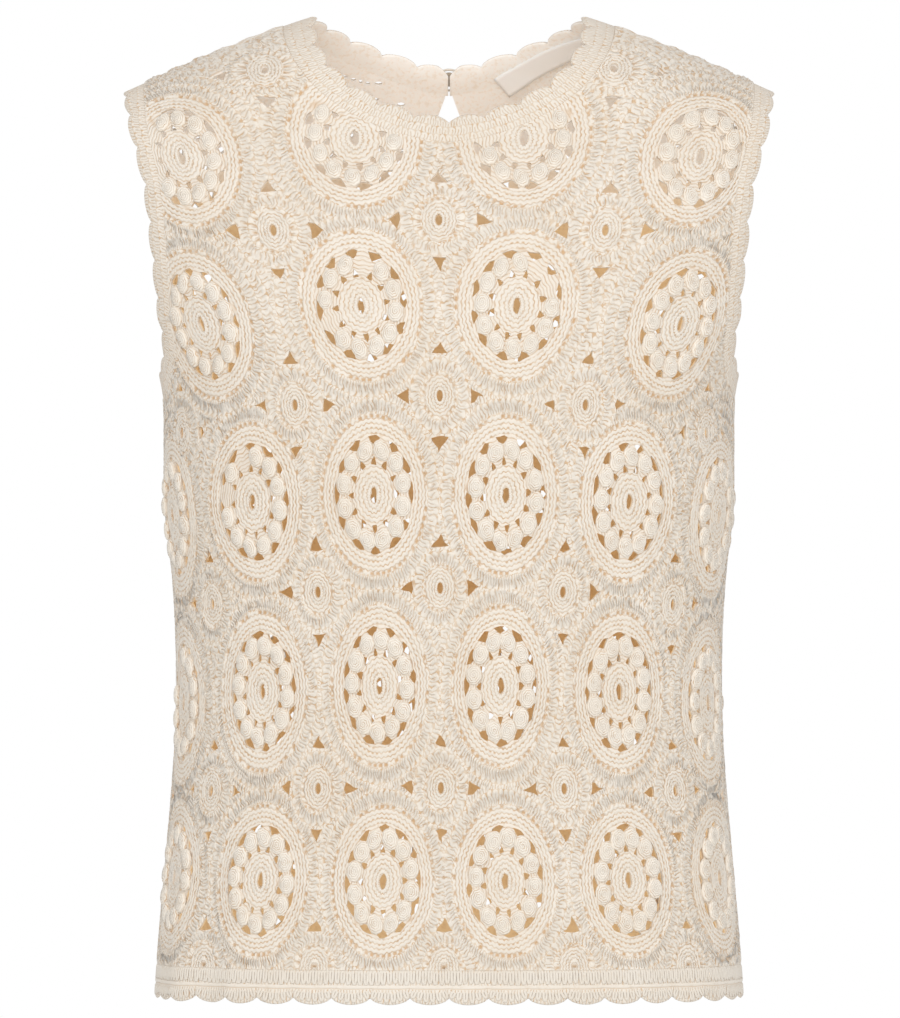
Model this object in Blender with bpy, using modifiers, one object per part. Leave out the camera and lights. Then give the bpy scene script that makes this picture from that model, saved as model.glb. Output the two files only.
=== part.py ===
"""A sleeveless crochet top of round medallions, as it hangs on its wearer.

The front faces -Y, +X is the wearer's left and +Z is up. The origin lies between the
wearer's shoulders. All sizes are in metres.

Every piece of cloth is laid out on one pattern for each face, front and back. A place
on the pattern is (across, height): across is the way round the body from the centre
line, and height runs down the cloth from the shoulder. cloth_point puts such a place
on the worn form.
"""

import math
from collections import namedtuple

import bmesh
import bpy
import numpy as np
from mathutils import Matrix, Vector
from mathutils.geometry import delaunay_2d_cdt

# ---- Driving dimensions -------------------------------------------------------------

WALL = 0.0022              # thickness of the crocheted cloth
SEAM_GAP = 0.0003          # space left between neighbouring pieces
FRONT = -1
BACK = 1

QUARTER_ROUND = 0.230      # cloth from the centre line round to the side
CORNER_FULLNESS = 0.02     # how much squarer than an ellipse the body's sections are
MEAN_HALF_WIDTH = 0.168    # the section that spaces the pattern round the body
MEAN_DEPTH = 0.107

NECK_HALF_WIDTH = 0.0815
SHOULDER_TOP = 0.0136      # height of the neck point
SHOULDER_SLOPE = 0.510
SHOULDER_ROUNDING = 0.100
CREST_DROP = 0.040         # height over which the cloth turns over the shoulder
CREST_CLOTH = 0.071        # length of cloth in that turn

FRONT_NECK_DROP = 0.0634
BACK_NECK_DROP = 0.0290
FRONT_NECK_POWERS = (1.60, 0.46)    # how round the neckline is at its foot, and at its top
BACK_NECK_POWERS = (1.30, 0.90)
NECK_BAND_WIDTH = 0.0130
NECK_SCALLOPS_FRONT = 13
NECK_SCALLOPS_BACK_HALF = 6

ARMHOLE_STRAIGHT_END = -0.165
ARMHOLE_BOTTOM = -0.1995
ARMHOLE_BAND_WIDTH = 0.0120
ARMHOLE_SCALLOPS_HALF = 11

HEM_SEAM = -0.5446
HEM_EDGE = -0.5621
HEM_SCALLOPS_HALF = 21

SCALLOP_DEPTH = 0.0030
SCALLOP_SHAPE = ((0.0, -0.5), (0.32, 0.5), (0.68, 0.5))    # (share along, share of depth)

KEYHOLE_LENGTH = 0.050
KEYHOLE_HALF_WIDTH = 0.0062
KEYHOLE_FULLNESS = 1.15    # above 1 the drop is widest below its middle
KEYHOLE_STEPS = 8
KEYHOLE_SLIT = 0.0032      # width of the slit between the ends of the neck band

BUTTON_RADIUS = 0.0048
BUTTON_THICKNESS = 0.0026
BUTTON_BELOW_EDGE = 0.0060
LOOP_YARN_RADIUS = 0.0007
LOOP_CLEARANCE = 0.0005
LOOP_POINTS = 22

LABEL_WIDTH = 0.058
LABEL_HEIGHT = 0.0125
LABEL_THICKNESS = 0.0006
LABEL_START = 0.016        # distance from the centre back along the neckline
LABEL_BELOW_EDGE = 0.0095
LABEL_LIFT = 0.0008        # keeps the flat label clear of the cloth's inner facets

SLIT_HALF_WIDTH = 0.0021
SLIT_HALF_HEIGHT = 0.0060
SLIT_SIDES = 6
BOBBLES = 12
BOBBLE_HEIGHT = 0.0026
DISC_HEIGHT = 0.0006
RING_HEIGHT = 0.0005
VALLEY_DEPTH = 0.0004
DISC_SHARE = 0.60          # the centre disc and the ring's edge, against the bobble ring
RING_SHARE = 1.32

ROSETTE_HOLE_HALF_WIDTH = 0.0023
ROSETTE_HOLE_HALF_HEIGHT = 0.0030
ROSETTE_HOLE_SIDES = 6
GAP_BASE = 0.0072          # the triangular gaps round a rosette
GAP_HEIGHT = 0.0066
HOLE_MARGIN = 0.0014       # cloth kept between a hole and the piece's edge
HOLE_REACH = 0.015         # more than the longest hole
POINT_MARGIN = 0.0040      # cloth kept between a raised point and the piece's edge
SIDE_STEP = 0.021          # spacing of the points down a side seam
END_BLEND = 12             # points over which an offset line turns to its end's way
PLAIN_STEP = 0.0192        # grid of the points on plain cloth
PLAIN_CLEARANCE = 0.0132   # how far such a point lies from any other

YARN_COLOUR = (0.83, 0.75, 0.62)
BUTTON_COLOUR = (0.55, 0.46, 0.36)
LABEL_COLOUR = (0.82, 0.80, 0.76)

# The body's sections, from the shoulder to the hem.
Section = namedtuple("Section", "height half_width front_depth back_depth")
SECTIONS = [Section(*row) for row in (
    (0.0500, 0.2250, 0.0440, 0.0400),
    (0.0136, 0.2215, 0.0500, 0.0500),
    (-0.0100, 0.2185, 0.0580, 0.0600),
    (-0.0330, 0.2150, 0.0680, 0.0770),
    (-0.0600, 0.2085, 0.0810, 0.0920),
    (-0.0940, 0.1995, 0.1000, 0.1040),
    (-0.1300, 0.1900, 0.1115, 0.1100),
    (-0.1650, 0.1805, 0.1180, 0.1125),
    (-0.1900, 0.1730, 0.1190, 0.1120),
    (-0.2120, 0.1685, 0.1185, 0.1110),
    (-0.2400, 0.1678, 0.1175, 0.1090),
    (-0.2720, 0.1676, 0.1150, 0.1065),
    (-0.3200, 0.1626, 0.1095, 0.1015),
    (-0.3650, 0.1606, 0.1060, 0.0985),
    (-0.4100, 0.1612, 0.1030, 0.0985),
    (-0.4500, 0.1640, 0.1005, 0.1000),
    (-0.5000, 0.1684, 0.0995, 0.1020),
    (-0.5450, 0.1722, 0.1005, 0.1040),
    (-0.5800, 0.1745, 0.1015, 0.1050),
)]

# The free edge of the armhole as it is seen from the front.
ArmholeEdge = namedtuple("ArmholeEdge", "height half_span")
ARMHOLE_EDGE = [ArmholeEdge(*row) for row in (
    (0.0500, 0.1895),
    (-0.0330, 0.1890),
    (-0.0510, 0.1868),
    (-0.0870, 0.1785),
    (-0.1290, 0.1736),
    (-0.1650, 0.1702),
)]

# Soft folds: each runs down the cloth and is deepest at its foot.
Fold = namedtuple("Fold", "face across half_width top foot rise")
FOLDS = [Fold(*row) for row in (
    (FRONT, -0.150, 0.020, -0.440, -0.580, -0.0030),
    (FRONT, -0.178, 0.018, -0.430, -0.580, 0.0022),
    (FRONT, -0.022, 0.026, -0.490, -0.580, -0.0020),
    (FRONT, 0.066, 0.034, -0.500, -0.580, 0.0018),
    (FRONT, 0.139, 0.024, -0.470, -0.580, -0.0022),
    (BACK, 0.136, 0.024, -0.430, -0.580, -0.0026),
    (BACK, 0.104, 0.022, -0.450, -0.580, 0.0018),
    (BACK, -0.040, 0.030, -0.480, -0.580, -0.0022),
    (BACK, -0.128, 0.026, -0.450, -0.580, -0.0024),
)]

# Rows of medallions, out from the centre line on both sides: how far the first one and
# the next ones lie across, and how far the whole row is turned round the body. A row
# hangs lower by its droop at the sides.
MedallionRow = namedtuple(
    "MedallionRow", "height droop first pitch per_side turned half_width half_height"
)
MEDALLIONS = [MedallionRow(*row) for row in (
    (-0.0595, 0.034, 0.0412, 0.0915, 2, 0.0047, 0.0190, 0.0235),
    (-0.1578, 0.030, 0.0430, 0.0985, 2, 0.0056, 0.0195, 0.0250),
    (-0.2680, 0.018, 0.0396, 0.0767, 3, 0.0055, 0.0184, 0.0265),
    (-0.3790, 0.016, 0.0380, 0.0770, 3, 0.0056, 0.0176, 0.0268),
    (-0.4928, 0.000, 0.0368, 0.0767, 3, 0.0030, 0.0178, 0.0252),
)]

# Rows of rosettes: each rosette fills the corner between four medallions.
RosetteRow = namedtuple(
    "RosetteRow", "height droop first pitch per_side turned reach_across reach_up"
)
ROSETTES = [RosetteRow(*row) for row in (
    (-0.0140, 0.020, 0.0824, 0.0900, 1, 0.0047, 0.0240, 0.0235),
    (-0.1090, 0.040, 0.0000, 0.0872, 1, 0.0052, 0.0240, 0.0262),
    (-0.2112, 0.036, 0.0000, 0.0880, 2, 0.0055, 0.0222, 0.0280),
    (-0.3225, 0.022, 0.0000, 0.0767, 3, 0.0055, 0.0212, 0.0280),
    (-0.4385, 0.006, 0.0000, 0.0767, 3, 0.0050, 0.0212, 0.0280),
)]
HEM_ROSETTES = RosetteRow(-0.5430, 0.000, 0.0000, 0.0767, 3, 0.0030, 0.0212, 0.0250)


# ---- The worn form ------------------------------------------------------------------

def smooth_value(rows, column, height):
    """One column of a table of heights, read as a smooth curve."""
    heights = np.array([row.height for row in rows][::-1])
    values = np.array([getattr(row, column) for row in rows][::-1])
    slopes = np.gradient(values, heights)
    start = int(np.clip(np.searchsorted(heights, height) - 1, 0, len(heights) - 2))
    span = heights[start + 1] - heights[start]
    t = (height - heights[start]) / span
    rise = (3 - 2 * t) * t * t
    return float(
        values[start] * (1 - rise)
        + values[start + 1] * rise
        + span * slopes[start] * t * (1 - t) ** 2
        - span * slopes[start + 1] * t * t * (1 - t)
    )


def section_across(angle):
    """The half-width's share at an angle from the centre line."""
    return (np.sin(angle) + CORNER_FULLNESS * np.sin(3 * angle)) / (1 - CORNER_FULLNESS)


def section_along(angle):
    """The depth's share at an angle from the centre line."""
    return (np.cos(angle) - CORNER_FULLNESS * np.cos(3 * angle)) / (1 - CORNER_FULLNESS)


SECTION_ANGLES = np.linspace(0, math.pi / 2, 400)
SECTION_STEPS = np.hypot(
    np.diff(MEAN_HALF_WIDTH * section_across(SECTION_ANGLES)),
    np.diff(MEAN_DEPTH * section_along(SECTION_ANGLES)),
)
SECTION_ARC = np.concatenate(([0.0], np.cumsum(SECTION_STEPS)))
SECTION_ARC = SECTION_ARC * QUARTER_ROUND / SECTION_ARC[-1]


def shoulder_height(x):
    """Height of the shoulder line over x."""
    run = math.hypot(x, SHOULDER_ROUNDING) - math.hypot(NECK_HALF_WIDTH, SHOULDER_ROUNDING)
    return SHOULDER_TOP - SHOULDER_SLOPE * run


def fold_rise(face, across, height):
    """How far the folds lift the cloth off the plain form."""
    total = 0.0
    for fold in FOLDS:
        aside = abs(across - fold.across)
        if fold.face != face or height > fold.top or aside > fold.half_width:
            continue
        length = min((fold.top - height) / (fold.top - fold.foot), 1.0)
        width = math.cos(math.pi * aside / (2 * fold.half_width)) ** 2
        total += fold.rise * width * math.sin(length * math.pi / 2) ** 2
    return total


def form_point(face, across, height):
    """A place of the pattern on the plain outer form."""
    angle = math.copysign(np.interp(abs(across), SECTION_ARC, SECTION_ANGLES), across)
    rise = fold_rise(face, across, height)
    depth_column = {FRONT: "front_depth", BACK: "back_depth"}[face]
    half_width = smooth_value(SECTIONS, "half_width", height) + rise
    depth = smooth_value(SECTIONS, depth_column, height) + rise
    x = half_width * section_across(angle)
    ridge = shoulder_height(x)
    below = ridge + CREST_CLOTH - CREST_DROP - height
    if below < CREST_CLOTH:
        turn = math.pi / 2 * below / CREST_CLOTH
        z = ridge - CREST_DROP * (1 - math.cos(turn))
        crest = math.sin(turn)
    else:
        z = height
        crest = 1.0
    return Vector((x, face * depth * section_along(angle) * crest, z))


def cloth_point(face, across, height, out=0.0):
    """A place of the pattern, moved out of the cloth (or in, where out is negative)."""
    step = 0.0001
    inward = -math.copysign(step, across)
    place = form_point(face, across, height)
    along = form_point(face, across + inward, height) - place
    down = form_point(face, across, height - step) - place
    normal = along.cross(down).normalized()
    middle = Vector((0.0, 0.0, place.z - CREST_DROP))
    if normal.dot(place - middle) < 0:
        normal.negate()
    return place + normal * out


def across_at(x, height):
    """The pattern's place across for a point at x on a level of the form."""
    half_width = smooth_value(SECTIONS, "half_width", height)
    angle = np.interp(abs(x) / half_width, section_across(SECTION_ANGLES), SECTION_ANGLES)
    return math.copysign(np.interp(angle, SECTION_ANGLES, SECTION_ARC), x)


def pattern_place(x, z):
    """The pattern's place for a point of the form seen from the front at x, z."""
    ridge = shoulder_height(x)
    drop = ridge - z
    height = z
    if drop < CREST_DROP:
        turn = math.acos(max(1 - drop / CREST_DROP, -1.0))
        height = ridge + CREST_CLOTH - CREST_DROP - CREST_CLOTH * turn / (math.pi / 2)
    return across_at(x, height), height


# ---- Lines on the pattern -----------------------------------------------------------

def neck_edge(face):
    """The free edge of the neckline, from the centre line to the shoulder, at +X."""
    drop, width_power, drop_power = {
        FRONT: (FRONT_NECK_DROP, *FRONT_NECK_POWERS),
        BACK: (BACK_NECK_DROP, *BACK_NECK_POWERS),
    }[face]
    line = []
    for turn in np.linspace(0, math.pi / 2, 160):
        share = math.sin(turn)
        x = NECK_HALF_WIDTH * share
        fall = drop * max(1 - share ** width_power, 0.0) ** drop_power
        line.append(pattern_place(x, shoulder_height(NECK_HALF_WIDTH) - fall))
    return np.array(line)


def armhole_edge():
    """The free edge of the armhole, from the side seam to the shoulder, at +X."""
    line = []
    straight_x = smooth_value(ARMHOLE_EDGE, "half_span", ARMHOLE_STRAIGHT_END)
    straight_across = across_at(straight_x, ARMHOLE_STRAIGHT_END)
    for turn in np.linspace(math.pi / 2, 0, 60):
        across = QUARTER_ROUND - (QUARTER_ROUND - straight_across) * math.cos(turn)
        fall = (ARMHOLE_STRAIGHT_END - ARMHOLE_BOTTOM) * math.sin(turn)
        line.append((across, ARMHOLE_STRAIGHT_END - fall))
    tip_x = ARMHOLE_EDGE[0].half_span
    tip_height = pattern_place(tip_x, shoulder_height(tip_x))[1]
    for height in np.linspace(ARMHOLE_STRAIGHT_END, tip_height, 100)[1:]:
        x = smooth_value(ARMHOLE_EDGE, "half_span", height)
        line.append((across_at(x, height), height))
    return np.array(line)


def offset_line(line, distance, first_way, last_way):
    """A line beside another on the pattern, with the ways its two ends step off."""
    steps = np.gradient(line, axis=0)
    ways = np.stack((steps[:, 1], -steps[:, 0]), axis=1)
    ways /= np.linalg.norm(ways, axis=1)[:, None]
    if np.dot(ways[len(ways) // 2], np.add(first_way, last_way)) < 0:
        ways = -ways
    for index in range(END_BLEND):
        share = index / END_BLEND
        ways[index] = np.array(first_way) * (1 - share) + ways[index] * share
        ways[-1 - index] = np.array(last_way) * (1 - share) + ways[-1 - index] * share
    ways /= np.linalg.norm(ways, axis=1)[:, None]
    return line + ways * distance


def lengths_along(line):
    """The length of a line of the pattern up to each of its places."""
    steps = np.linalg.norm(np.diff(line, axis=0), axis=1)
    return np.concatenate(([0.0], np.cumsum(steps)))


def even_indices(line, count):
    """The fractional indices that part a line into equal lengths."""
    lengths = lengths_along(line)
    return np.interp(np.linspace(0, lengths[-1], count + 1), lengths, np.arange(len(line)))


def line_at(line, index):
    """The place on a line at a fractional index, or the places at several."""
    numbers = np.arange(len(line))
    across = np.interp(index, numbers, line[:, 0])
    height = np.interp(index, numbers, line[:, 1])
    return np.stack((across, height), axis=-1)


def mirrored(line):
    """A line of the pattern on the other side of the centre line."""
    return line * np.array((-1.0, 1.0))


def ridge_at(across):
    """The pattern's place on the shoulder seam at a place across."""
    height = SHOULDER_TOP
    for _ in range(12):
        x = form_point(FRONT, across, height).x
        height = shoulder_height(x) + CREST_CLOTH - CREST_DROP
    return across, height


def settle_on_ridge(line):
    """The same line with its last place exactly on the shoulder seam."""
    settled = line.copy()
    settled[-1] = ridge_at(settled[-1][0])
    return settled


NECK_FREE = {face: settle_on_ridge(neck_edge(face)) for face in (FRONT, BACK)}
NECK_SEAM = {
    face: settle_on_ridge(offset_line(NECK_FREE[face], NECK_BAND_WIDTH, (0.0, -1.0), (1.0, 0.0)))
    for face in (FRONT, BACK)
}
ARMHOLE_FREE = settle_on_ridge(armhole_edge())
ARMHOLE_SEAM = settle_on_ridge(
    offset_line(ARMHOLE_FREE, ARMHOLE_BAND_WIDTH, (0.0, -1.0), (-1.0, 0.0))
)


# ---- Building meshes ----------------------------------------------------------------

def material(name, colour, roughness):
    """A plain Principled material."""
    made = bpy.data.materials.new(name)
    made.use_nodes = True
    shader = made.node_tree.nodes["Principled BSDF"]
    shader.inputs["Base Color"].default_value = (*colour, 1.0)
    shader.inputs["Roughness"].default_value = roughness
    made.diffuse_color = (*colour, 1.0)
    return made


def add_object(name, mesh, finish, collection):
    """An object for a finished mesh, with its material."""
    made = bpy.data.objects.new(name, mesh)
    made.data.materials.clear()
    made.data.materials.append(finish)
    collection.objects.link(made)
    return made


def finish_mesh(name, bm):
    """A closed mesh of triangles with its faces pointing out."""
    bmesh.ops.triangulate(bm, faces=bm.faces[:])
    bmesh.ops.recalc_face_normals(bm, faces=bm.faces[:])
    mesh = bpy.data.meshes.new(name)
    bm.to_mesh(mesh)
    bm.free()
    mesh.shade_smooth()
    mesh.set_sharp_from_angle(angle=math.radians(40))
    return mesh


def inside(loop, place):
    """Whether a place lies inside a closed loop of the pattern."""
    ends = np.roll(loop, -1, axis=0)
    crosses = (loop[:, 1] > place[1]) != (ends[:, 1] > place[1])
    with np.errstate(divide="ignore", invalid="ignore"):
        at = loop[:, 0] + (place[1] - loop[:, 1]) * (ends[:, 0] - loop[:, 0]) / (ends[:, 1] - loop[:, 1])
    return bool(np.count_nonzero(crosses & (place[0] < at)) % 2)


def distance_to(loop, place):
    """Distance from a place to the nearest edge of a closed loop."""
    ends = np.roll(loop, -1, axis=0)
    runs = ends - loop
    shares = np.sum((place - loop) * runs, axis=1) / np.sum(runs * runs, axis=1)
    nearest = loop + runs * np.clip(shares, 0, 1)[:, None]
    return float(np.min(np.linalg.norm(nearest - place, axis=1)))


def clear_of(loop, places, margin):
    """Whether all places lie inside a loop and clear of its edge."""
    return all(inside(loop, place) and distance_to(loop, place) > margin for place in places)


def pattern_faces(outline, holes, points):
    """Triangles over the outline, round the holes and through the points."""
    loops = [outline] + holes
    places = np.concatenate(loops + [points]) if len(points) else np.concatenate(loops)
    edges = []
    first = 0
    for loop in loops:
        count = len(loop)
        edges += [(first + i, first + (i + 1) % count) for i in range(count)]
        first += count
    coords = [Vector((float(a), float(h))) for a, h in places]
    found, _, faces, originals, _, _ = delaunay_2d_cdt(coords, edges, [], 0, 1e-7, True)
    middles = [np.mean([found[i] for i in face], axis=0) for face in faces]
    kept = []
    for face, middle in zip(faces, middles):
        if not inside(outline, middle):
            continue
        if any(inside(hole, middle) for hole in holes if np.linalg.norm(hole[0] - middle) < HOLE_REACH):
            continue
        kept.append([originals[i][0] for i in face])
    return kept


def panel(name, face, outline, holes, raised, plain, finish, collection):
    """A lace panel: a raised outer face over a plain inner one, cut through at the holes."""
    bm = bmesh.new()
    loops = [outline] + holes
    edge_places = np.concatenate(loops)
    outer_places = [(a, h, 0.0) for a, h in edge_places] + list(raised)
    inner_places = [(a, h, -WALL) for a, h in edge_places] + [(a, h, -WALL) for a, h in plain]
    outer = [bm.verts.new(cloth_point(face, *place)) for place in outer_places]
    inner = [bm.verts.new(cloth_point(face, *place)) for place in inner_places]
    raised_places = np.array([place[:2] for place in raised])
    for triangle in pattern_faces(outline, holes, raised_places):
        bm.faces.new([outer[i] for i in triangle])
    for triangle in pattern_faces(outline, holes, plain):
        bm.faces.new([inner[i] for i in reversed(triangle)])
    first = 0
    for loop in loops:
        count = len(loop)
        for i in range(count):
            here = first + i
            there = first + (i + 1) % count
            bm.faces.new((outer[here], inner[here], inner[there], outer[there]))
        first += count
    return add_object(name, finish_mesh(name, bm), finish, collection)


def edge_place(free_line, seam_line, index, push):
    """A place on a band's scalloped edge, in from its free line or out past it."""
    place = line_at(free_line, index)
    way = place - line_at(seam_line, index)
    return place + way / np.linalg.norm(way) * push * SCALLOP_DEPTH


def band(name, parts, closed, finish, collection):
    """A band of solid crochet with a scalloped free edge, sewn round an opening."""
    seam = []
    free = []
    for face, free_line, seam_line, count in parts:
        notches = even_indices(seam_line, count)
        for index, after in zip(notches, notches[1:]):
            seam.append((face, *line_at(seam_line, index)))
            for share, push in SCALLOP_SHAPE:
                at = index + (after - index) * share
                free.append((face, *edge_place(free_line, seam_line, at, push)))
    if not closed:
        face, free_line, seam_line, _ = parts[-1]
        last = len(seam_line) - 1
        seam.append((face, *seam_line[last]))
        free.append((face, *edge_place(free_line, seam_line, last, SCALLOP_SHAPE[0][1])))
    bm = bmesh.new()
    seam_out = [bm.verts.new(cloth_point(*place)) for place in seam]
    seam_in = [bm.verts.new(cloth_point(*place, -WALL)) for place in seam]
    free_out = [bm.verts.new(cloth_point(*place)) for place in free]
    free_in = [bm.verts.new(cloth_point(*place, -WALL)) for place in free]
    cells = len(seam) if closed else len(seam) - 1
    for cell in range(cells):
        after = (cell + 1) % len(seam)
        edge = [(3 * cell + i) % len(free) for i in range(4)]
        bm.faces.new([seam_out[cell]] + [free_out[i] for i in edge] + [seam_out[after]])
        bm.faces.new([seam_in[after]] + [free_in[i] for i in reversed(edge)] + [seam_in[cell]])
        bm.faces.new((seam_out[cell], seam_out[after], seam_in[after], seam_in[cell]))
        for here, there in zip(edge, edge[1:]):
            bm.faces.new((free_out[there], free_out[here], free_in[here], free_in[there]))
    if not closed:
        for end in (0, -1):
            bm.faces.new((seam_out[end], free_out[end], free_in[end], seam_in[end]))
    return add_object(name, finish_mesh(name, bm), finish, collection)


# ---- The lace pattern ---------------------------------------------------------------

def row_places(row, face):
    """The centres of a row of motifs. A row with no first distance has one in the middle."""
    if row.first:
        right = [row.first + row.pitch * number for number in range(row.per_side)]
        whole = [-across for across in right] + right
    else:
        whole = [row.pitch * number for number in range(-row.per_side, row.per_side + 1)]
    return [
        (across + face * row.turned, row.height - row.droop * (across / QUARTER_ROUND) ** 2)
        for across in whole
    ]


def ellipse(centre, half_width, half_height, count):
    """Places round an ellipse on the pattern."""
    turns = np.arange(count) * 2 * math.pi / count
    return np.stack(
        (centre[0] + half_width * np.sin(turns), centre[1] + half_height * np.cos(turns)), axis=1
    )


def medallion_centres(face):
    """Every medallion of a face: its centre and its bobble ring's half sizes."""
    for row in MEDALLIONS:
        for centre in row_places(row, face):
            yield centre, row.half_width, row.half_height


def rosette_gaps(centre, row, ways):
    """The triangular gaps that point away from a rosette."""
    gaps = []
    for way_across, way_up in ways:
        reach = row.reach_across if way_across else row.reach_up
        middle = np.array(centre) + np.array((way_across, way_up)) * reach
        out = np.array((way_across, way_up))
        aside = np.array((way_up, -way_across))
        gaps.append(np.array((
            middle - out * GAP_HEIGHT / 2 - aside * GAP_BASE / 2,
            middle - out * GAP_HEIGHT / 2 + aside * GAP_BASE / 2,
            middle + out * GAP_HEIGHT / 2,
        )))
    return gaps


def lace_holes(face, outline):
    """The holes that are cut through a panel."""
    holes = []
    for centre, _, _ in medallion_centres(face):
        holes.append(ellipse(centre, SLIT_HALF_WIDTH, SLIT_HALF_HEIGHT, SLIT_SIDES))
    all_ways = ((0, 1), (1, 0), (0, -1), (-1, 0))
    for row in ROSETTES:
        for centre in row_places(row, face):
            holes.append(ellipse(
                centre, ROSETTE_HOLE_HALF_WIDTH, ROSETTE_HOLE_HALF_HEIGHT, ROSETTE_HOLE_SIDES
            ))
            holes += rosette_gaps(centre, row, all_ways)
    for centre in row_places(HEM_ROSETTES, face):
        holes += rosette_gaps(centre, HEM_ROSETTES, ((0, 1),))
    return [hole for hole in holes if clear_of(outline, hole, HOLE_MARGIN)]


def lace_relief(face, outline):
    """The raised places of the outer face, and the places of the plain inner one."""
    raised = []
    plain = []
    for centre, half_width, half_height in medallion_centres(face):
        rings = (
            (DISC_SHARE, BOBBLES, (DISC_HEIGHT,)),
            (1.0, 2 * BOBBLES, (BOBBLE_HEIGHT, -VALLEY_DEPTH)),
            (RING_SHARE, BOBBLES, (RING_HEIGHT,)),
        )
        for share, count, heights in rings:
            for i, place in enumerate(ellipse(centre, half_width * share, half_height * share, count)):
                raised.append((*place, heights[i % len(heights)]))
        plain += list(ellipse(centre, half_width * RING_SHARE, half_height * RING_SHARE, BOBBLES))
    raised = [place for place in raised if clear_of(outline, [place[:2]], POINT_MARGIN)]
    plain = [place for place in plain if clear_of(outline, [place], POINT_MARGIN)]
    return raised, plain


def fill_plain_cloth(outline, holes, places):
    """Places on a grid where nothing else is near, to keep the cloth's curve."""
    taken = np.concatenate([outline] + holes + [np.array(places)])
    low = outline.min(axis=0)
    high = outline.max(axis=0)
    added = []
    for height in np.arange(low[1], high[1], PLAIN_STEP):
        for across in np.arange(low[0], high[0], PLAIN_STEP):
            place = np.array((across, height))
            near = np.min(np.linalg.norm(taken - place, axis=1))
            if near > PLAIN_CLEARANCE and clear_of(outline, [place], POINT_MARGIN):
                added.append(place)
                taken = np.concatenate((taken, [place]))
    return added


# ---- Pieces -------------------------------------------------------------------------

def panel_outline(face):
    """A panel's edge, from the centre of the neck round to it again."""
    if face == FRONT:
        half = NECK_SEAM[face]
        whole = np.concatenate((mirrored(half)[::-1], half[1:]))
        neck = line_at(whole, even_indices(whole, NECK_SCALLOPS_FRONT))
    else:
        half = NECK_SEAM[face][keyhole_start():]
        right = line_at(half, even_indices(half, NECK_SCALLOPS_BACK_HALF))
        neck = np.concatenate((mirrored(right)[::-1], keyhole_places(right[0]), right))
    arm = line_at(ARMHOLE_SEAM, even_indices(ARMHOLE_SEAM, ARMHOLE_SCALLOPS_HALF))
    shoulder = [ridge_at(a) for a in np.linspace(neck[-1][0], arm[-1][0], 5)[1:-1]]
    side_count = math.ceil((arm[0][1] - HEM_SEAM) / SIDE_STEP)
    side = [(QUARTER_ROUND, h) for h in np.linspace(arm[0][1], HEM_SEAM, side_count + 1)[1:]]
    hem = [(a, HEM_SEAM) for a in np.linspace(QUARTER_ROUND, -QUARTER_ROUND, HEM_SCALLOPS_HALF + 1)[1:-1]]
    right_side = shoulder + list(arm[::-1]) + side
    left_side = [(-a, h) for a, h in right_side[::-1]]
    loop = np.array(list(neck) + right_side + hem + left_side)
    return shrink_loop(loop, SEAM_GAP / 2)


def shrink_loop(loop, gap):
    """A closed loop moved inwards by a gap, with its corners kept."""
    before = np.roll(loop, 1, axis=0)
    after = np.roll(loop, -1, axis=0)
    moved = []
    for last, here, coming in zip(before, loop, after):
        first_run = (here - last) / np.linalg.norm(here - last)
        second_run = (coming - here) / np.linalg.norm(coming - here)
        first_way = np.array((first_run[1], -first_run[0]))
        second_way = np.array((second_run[1], -second_run[0]))
        share = 1 + float(np.dot(first_way, second_way))
        moved.append(here + (first_way + second_way) * gap / max(share, 0.4))
    return np.array(moved)


def keyhole_start():
    """The index of the back neckline's seam at the edge of the slit."""
    return int(np.argmax(NECK_SEAM[BACK][:, 0] > KEYHOLE_SLIT / 2))


def keyhole_places(top_right):
    """The keyhole's drop shape, from the left of the slit down and round to the right."""
    right = []
    for turn in np.linspace(0, math.pi, KEYHOLE_STEPS + 1)[1:-1]:
        down = (1 - math.cos(turn)) / 2
        half_width = KEYHOLE_SLIT / 2 + KEYHOLE_HALF_WIDTH * math.sin(math.pi * down ** KEYHOLE_FULLNESS)
        right.append((half_width, top_right[1] - KEYHOLE_LENGTH * down))
    right = np.array(right)
    foot = np.array([(0.0, top_right[1] - KEYHOLE_LENGTH)])
    return np.concatenate((mirrored(right), foot, right[::-1]))


def build_panel(name, face, finish, collection):
    """The front or the back, cut through at its lace holes."""
    outline = panel_outline(face)
    holes = lace_holes(face, outline)
    raised, plain = lace_relief(face, outline)
    raised_places = [place[:2] for place in raised]
    raised += [(*place, 0.0) for place in fill_plain_cloth(outline, holes, raised_places)]
    plain += fill_plain_cloth(outline, holes, plain)
    panel(name, face, outline, holes, raised, np.array(plain), finish, collection)


def build_neck_band(finish, collection):
    """The neck band runs from one side of the keyhole's slit round to the other."""
    start = keyhole_start()
    back_free = NECK_FREE[BACK][start:]
    back_seam = NECK_SEAM[BACK][start:]
    front_free = NECK_FREE[FRONT]
    front_seam = NECK_SEAM[FRONT]
    whole_free = np.concatenate((front_free[::-1], mirrored(front_free)[1:]))
    whole_seam = np.concatenate((front_seam[::-1], mirrored(front_seam)[1:]))
    parts = (
        (BACK, back_free, back_seam, NECK_SCALLOPS_BACK_HALF),
        (FRONT, whole_free, whole_seam, NECK_SCALLOPS_FRONT),
        (BACK, mirrored(back_free)[::-1], mirrored(back_seam)[::-1], NECK_SCALLOPS_BACK_HALF),
    )
    gapped = [(face, free, step_off(seam, free), count) for face, free, seam, count in parts]
    band("neck_band", gapped, False, finish, collection)


def step_off(seam, free):
    """A seam line moved half a seam gap towards the free edge."""
    ways = free - seam
    ways /= np.linalg.norm(ways, axis=1)[:, None]
    return seam + ways * SEAM_GAP / 2


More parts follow.
